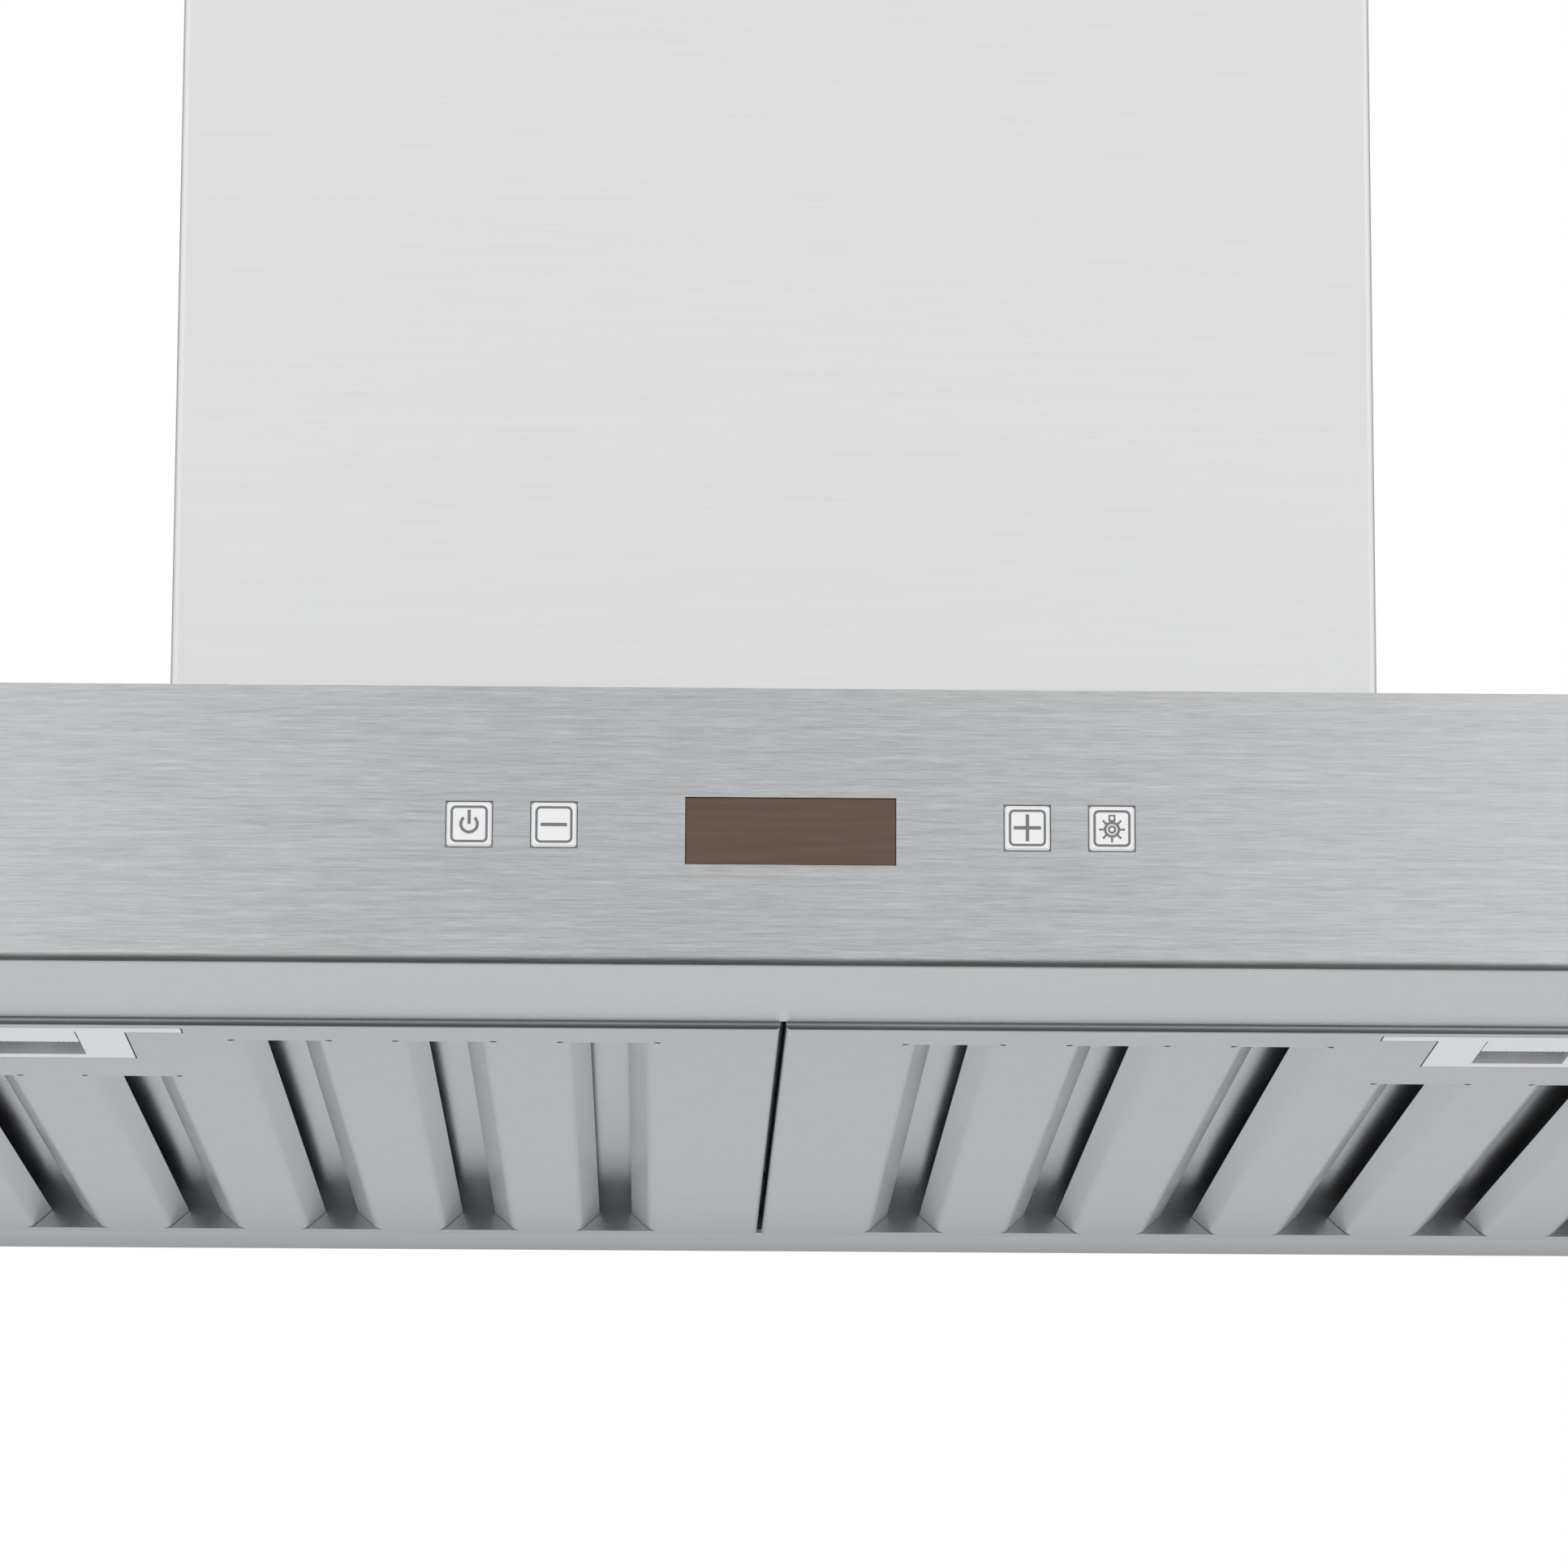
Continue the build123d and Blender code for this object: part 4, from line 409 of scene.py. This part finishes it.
def icon_light(bm, centre, y_front, y_back):
    centre = (centre[0], centre[1] - 0.25 * MM)
    for outer, line in ((1.8 * MM, 0.57 * MM), (0.925 * MM, 0.45 * MM)):
        add_band(bm, circle(centre, outer), circle(centre, outer - line), y_front, y_back)
    for ray in range(1, 8):
        angle = radians(90.0 + ray * 45.0)
        middle = (centre[0] + 2.32 * MM * cos(angle), centre[1] + 2.32 * MM * sin(angle))
        add_plate(bm, bar(middle, 1.06 * MM, 0.46 * MM, angle), y_front, y_back)
    socket = (centre[0], centre[1] + 2.55 * MM)
    add_band(bm, bar(socket, 1.55 * MM, 1.5 * MM), bar(socket, 0.75 * MM, 0.8 * MM), y_front, y_back)


def make_icons():
    """Print a ring and a symbol on the face of each button."""
    icons = {"power": icon_power, "minus": icon_minus, "plus": icon_plus, "light": icon_light}
    for name, draw in icons.items():
        centre = middle_xz(f"button_{name}")
        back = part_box(f"button_{name}")[0].y
        front = back - INK
        bm = bmesh.new()
        outer = rounded_square(centre, RING_HALF, RING_RADIUS)
        inner = rounded_square(centre, RING_HALF - RING_LINE, RING_RADIUS - RING_LINE)
        add_band(bm, outer, inner, front, back)
        draw(bm, centre, front, back)
        new_piece(f"icon_{name}", bm, icon_ink, f"button_{name}")


make_icons()


# ---------------------------------------------------------------- coil springs, each on the parent body of its joint
BUTTON_WIRE, BUTTON_TURNS = 0.4 * MM, 3
LATCH_WIRE, LATCH_TURNS = 0.6 * MM, 9
STEPS_PER_TURN, WIRE_SIDES = 24, 8


def make_spring(name, node, centre, joint, wire, turns):
    """A coil spring along Y that stands for its CAD solid, on the parent body of its joint."""
    low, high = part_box(node)
    radius = (high.z - low.z - wire) / 2
    y_start, y_end = low.y + wire / 2, high.y - wire / 2
    steps = turns * STEPS_PER_TURN
    climb = (y_end - y_start) / (2 * pi * turns * radius)
    bm = bmesh.new()
    rings = []
    for i in range(steps + 1):
        turn = 2 * pi * turns * i / steps
        out = Vector((cos(turn), 0.0, sin(turn)))
        along = Vector((-sin(turn), climb, cos(turn))).normalized()
        across = along.cross(out)
        y = y_start + (y_end - y_start) * i / steps
        middle = Vector((centre[0], y, centre[1])) + out * radius
        ring = []
        for k in range(WIRE_SIDES):
            angle = 2 * pi * k / WIRE_SIDES
            ring.append(bm.verts.new(middle + (out * cos(angle) + across * sin(angle)) * wire / 2))
        rings.append(ring)
    for ring, following in zip(rings, rings[1:]):
        for k in range(WIRE_SIDES):
            j = (k + 1) % WIRE_SIDES
            bm.faces.new((ring[k], ring[j], following[j], following[k]))
    bm.faces.new(rings[0][::-1])
    bm.faces.new(rings[-1])
    row = next(j for j in frame["record"]["behaviour"]["joints"] if j["name"] == joint)
    piece = new_piece(name, bm, spring_steel, row["parent"], smooth=True)
    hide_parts(node)
    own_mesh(piece)


def make_springs():
    """Springs behind the buttons and in the filter latches."""
    for name in ("power", "minus", "plus", "light"):
        centre = middle_xz(f"button_{name}")
        joint = f"button_{name}_press"
        make_spring(f"spring_{name}", "button_springs", centre, joint, BUTTON_WIRE, BUTTON_TURNS)
    for hand in ("left", "right"):
        node = f"filter_{hand}_latch_spring"
        joint = f"latch_{hand}_slide"
        make_spring(f"latch_spring_{hand}", node, middle_xz(node), joint, LATCH_WIRE, LATCH_TURNS)


make_springs()


# ---------------------------------------------------------------- stage, light and camera
# How bright the studio is, by the height of the direction from straight down (-1) to straight
# up (1), in front of the hood and behind it, and by how far the direction points to the right.
FRONT_LIGHT = (
    (-1.0, 0.12), (-0.62, 0.22), (-0.25, 0.48), (0.02, 0.76), (0.42, 1.0), (0.68, 0.55), (1.0, 0.42),
)
REAR_LIGHT = (
    (-1.0, 0.15), (-0.60, 0.60), (-0.15, 0.80), (0.02, 0.70), (0.38, 0.70), (0.65, 0.50), (1.0, 0.42),
)
WIDTH_LIGHT = (
    (-1.0, 0.46), (-0.48, 0.50), (-0.28, 0.72), (0.0, 0.13), (0.30, 0.70), (0.50, 0.50), (1.0, 0.46),
)
STUDIO_STRENGTH = 3.2
FRONT_TO_REAR = 0.35
WALL_GLOW = (0.96, 0.98, 1.0, 1.0)
# Painted shade in the wall's glow: 0.83 below the hood, falling to 0.42 over the 22 mm under the hood's
# underside, and 0.42 above it.
WALL_PAINTED_SHADE = {"From Min": -0.022, "From Max": 0.0, "To Min": 0.83, "To Max": 0.42}


def stage_sheet(name, half, material):
    """A flat square of the stage."""
    bm = bmesh.new()
    bmesh.ops.create_grid(bm, x_segments=1, y_segments=1, size=half)
    mesh = bpy.data.meshes.new(name)
    bm.to_mesh(mesh)
    bm.free()
    mesh.materials.append(material)
    sheet = bpy.data.objects.new(name, mesh)
    scene.collection.objects.link(sheet)
    return sheet


def make_floor():
    """A plain pale floor well below the hood. Metal doesn't mirror it."""
    material = mottled("floor_white", (0.86, 0.86, 0.86), 0.01, 0.7, scale=5.0)
    floor = stage_sheet("floor", FLOOR_HALF, material)
    floor.location = (0, 0, FLOOR_Z)
    floor.visible_glossy = False


def make_wall():
    """The wall as reflections see it: a sheet whose glow stands in for a lit wall, bright, and dimmer just
    above the hood's underside as painted shade of the hood.
    """
    material = bpy.data.materials.new("wall_light")
    material.use_nodes = True
    tree = material.node_tree
    tree.nodes.clear()
    place = add_node(tree, "ShaderNodeNewGeometry").outputs["Position"]
    height = add_node(tree, "ShaderNodeSeparateXYZ", inputs={0: place}).outputs["Z"]
    # The glow falls off towards the hood's underside: painted shade of the hood on the wall.
    painted_shade_ramp = add_node(tree, "ShaderNodeMapRange", inputs={"Value": height, **WALL_PAINTED_SHADE})
    strength = painted_shade_ramp.outputs["Result"]
    glow = add_node(tree, "ShaderNodeEmission", inputs={"Strength": strength, "Color": WALL_GLOW})
    add_node(tree, "ShaderNodeOutputMaterial", inputs={"Surface": glow.outputs[0]})
    wall = stage_sheet("wall", 1.0, material)
    upright = Matrix.Translation((0, WALL_GAP, WALL_MIDDLE_Z)) @ Matrix.Rotation(pi / 2, 4, "X")
    wall.matrix_world = upright @ Matrix.Diagonal((WALL_HALF_WIDTH, WALL_HALF_HEIGHT, 1.0, 1.0))
    wall.visible_camera = False


def make_studio():
    """Soft light all round: bright ahead, dim straight below, and white to the camera."""
    world = bpy.data.worlds.new("studio")
    world.use_nodes = True
    scene.world = world
    tree = world.node_tree
    tree.nodes.clear()

    def ramp(source, points, style):
        """Strength along one axis of the direction, from -1 to 1."""
        full = {"Value": source, "From Min": -1.0, "From Max": 1.0}
        place = add_node(tree, "ShaderNodeMapRange", inputs=full)
        curve = add_node(tree, "ShaderNodeValToRGB", inputs={"Fac": place.outputs[0]})
        stops = curve.color_ramp
        stops.interpolation = style
        while len(stops.elements) < len(points):
            stops.elements.new(0.5)
        for stop, (where, value) in zip(stops.elements, points):
            stop.position = (where + 1.0) / 2.0
            stop.color = (value, value, value, 1.0)
        return curve.outputs["Color"]

    direction = add_node(tree, "ShaderNodeTexCoord").outputs["Generated"]
    axes = add_node(tree, "ShaderNodeSeparateXYZ", inputs={0: direction}).outputs
    front = ramp(axes["Z"], FRONT_LIGHT, "EASE")
    rear = ramp(axes["Z"], REAR_LIGHT, "EASE")
    width = ramp(axes["X"], WIDTH_LIGHT, "LINEAR")
    span = {"Value": axes["Y"], "From Min": -FRONT_TO_REAR, "From Max": FRONT_TO_REAR}
    side = add_node(tree, "ShaderNodeMapRange", inputs=span).outputs[0]
    mix = add_node(tree, "ShaderNodeMix", {"data_type": "RGBA"}, {"Factor": side, 6: front, 7: rear})
    multiply = {"data_type": "RGBA", "blend_type": "MULTIPLY"}
    shade = add_node(tree, "ShaderNodeMix", multiply, {"Factor": 1.0, 6: mix.outputs[2], 7: width})
    lit = {"Color": shade.outputs[2], "Strength": STUDIO_STRENGTH}
    soft = add_node(tree, "ShaderNodeBackground", inputs=lit).outputs[0]
    white = add_node(tree, "ShaderNodeBackground", inputs={"Color": (1, 1, 1, 1), "Strength": 1.0}).outputs[0]
    seen = add_node(tree, "ShaderNodeLightPath").outputs["Is Camera Ray"]
    pick = add_node(tree, "ShaderNodeMixShader", inputs={"Fac": seen, 1: soft, 2: white})
    add_node(tree, "ShaderNodeOutputWorld", inputs={"Surface": pick.outputs[0]})


def make_overhead_light():
    """A large soft light above the front of the hood."""
    place, target = Vector((0.0, -0.9, 2.6)), Vector((0.0, -0.2, 0.1))
    data = bpy.data.lights.new("overhead", "AREA")
    data.shape = "RECTANGLE"
    data.size, data.size_y = 2.0, 1.4
    data.energy = 5.0
    lamp = bpy.data.objects.new("overhead", data)
    lamp.location = place
    lamp.rotation_euler = (target - place).to_track_quat("-Z", "Y").to_euler()
    lamp.visible_camera = False
    scene.collection.objects.link(lamp)


CAMERA_LENS, CAMERA_SENSOR = 164.0, 36.0
CAMERA_PLACE = (-0.0290, FRONT_Y - 1.5420, -0.2565)
CAMERA_YAW, CAMERA_PITCH, CAMERA_ROLL = radians(1.021), radians(10.902), radians(0.227)


def make_camera():
    """A long lens in front of the hood and below it, turned up at the control strip."""
    data = bpy.data.cameras.new("camera")
    data.sensor_width = CAMERA_SENSOR
    data.lens = CAMERA_LENS
    data.clip_start = 0.05
    data.clip_end = 50.0
    camera = bpy.data.objects.new("camera", data)
    yaw, pitch, roll = CAMERA_YAW, CAMERA_PITCH, CAMERA_ROLL
    ahead = Vector((sin(yaw) * cos(pitch), cos(yaw) * cos(pitch), sin(pitch)))
    level = Vector((cos(yaw), -sin(yaw), 0.0))
    upright = level.cross(ahead)
    right = level * cos(roll) + upright * sin(roll)
    up = upright * cos(roll) - level * sin(roll)
    turn = Matrix((right, up, -ahead)).transposed()
    camera.matrix_world = Matrix.Translation(CAMERA_PLACE) @ turn.to_4x4()
    scene.collection.objects.link(camera)
    scene.camera = camera


make_floor()
make_wall()
make_studio()
make_overhead_light()
make_camera()
scene.view_settings.view_transform = "Standard"
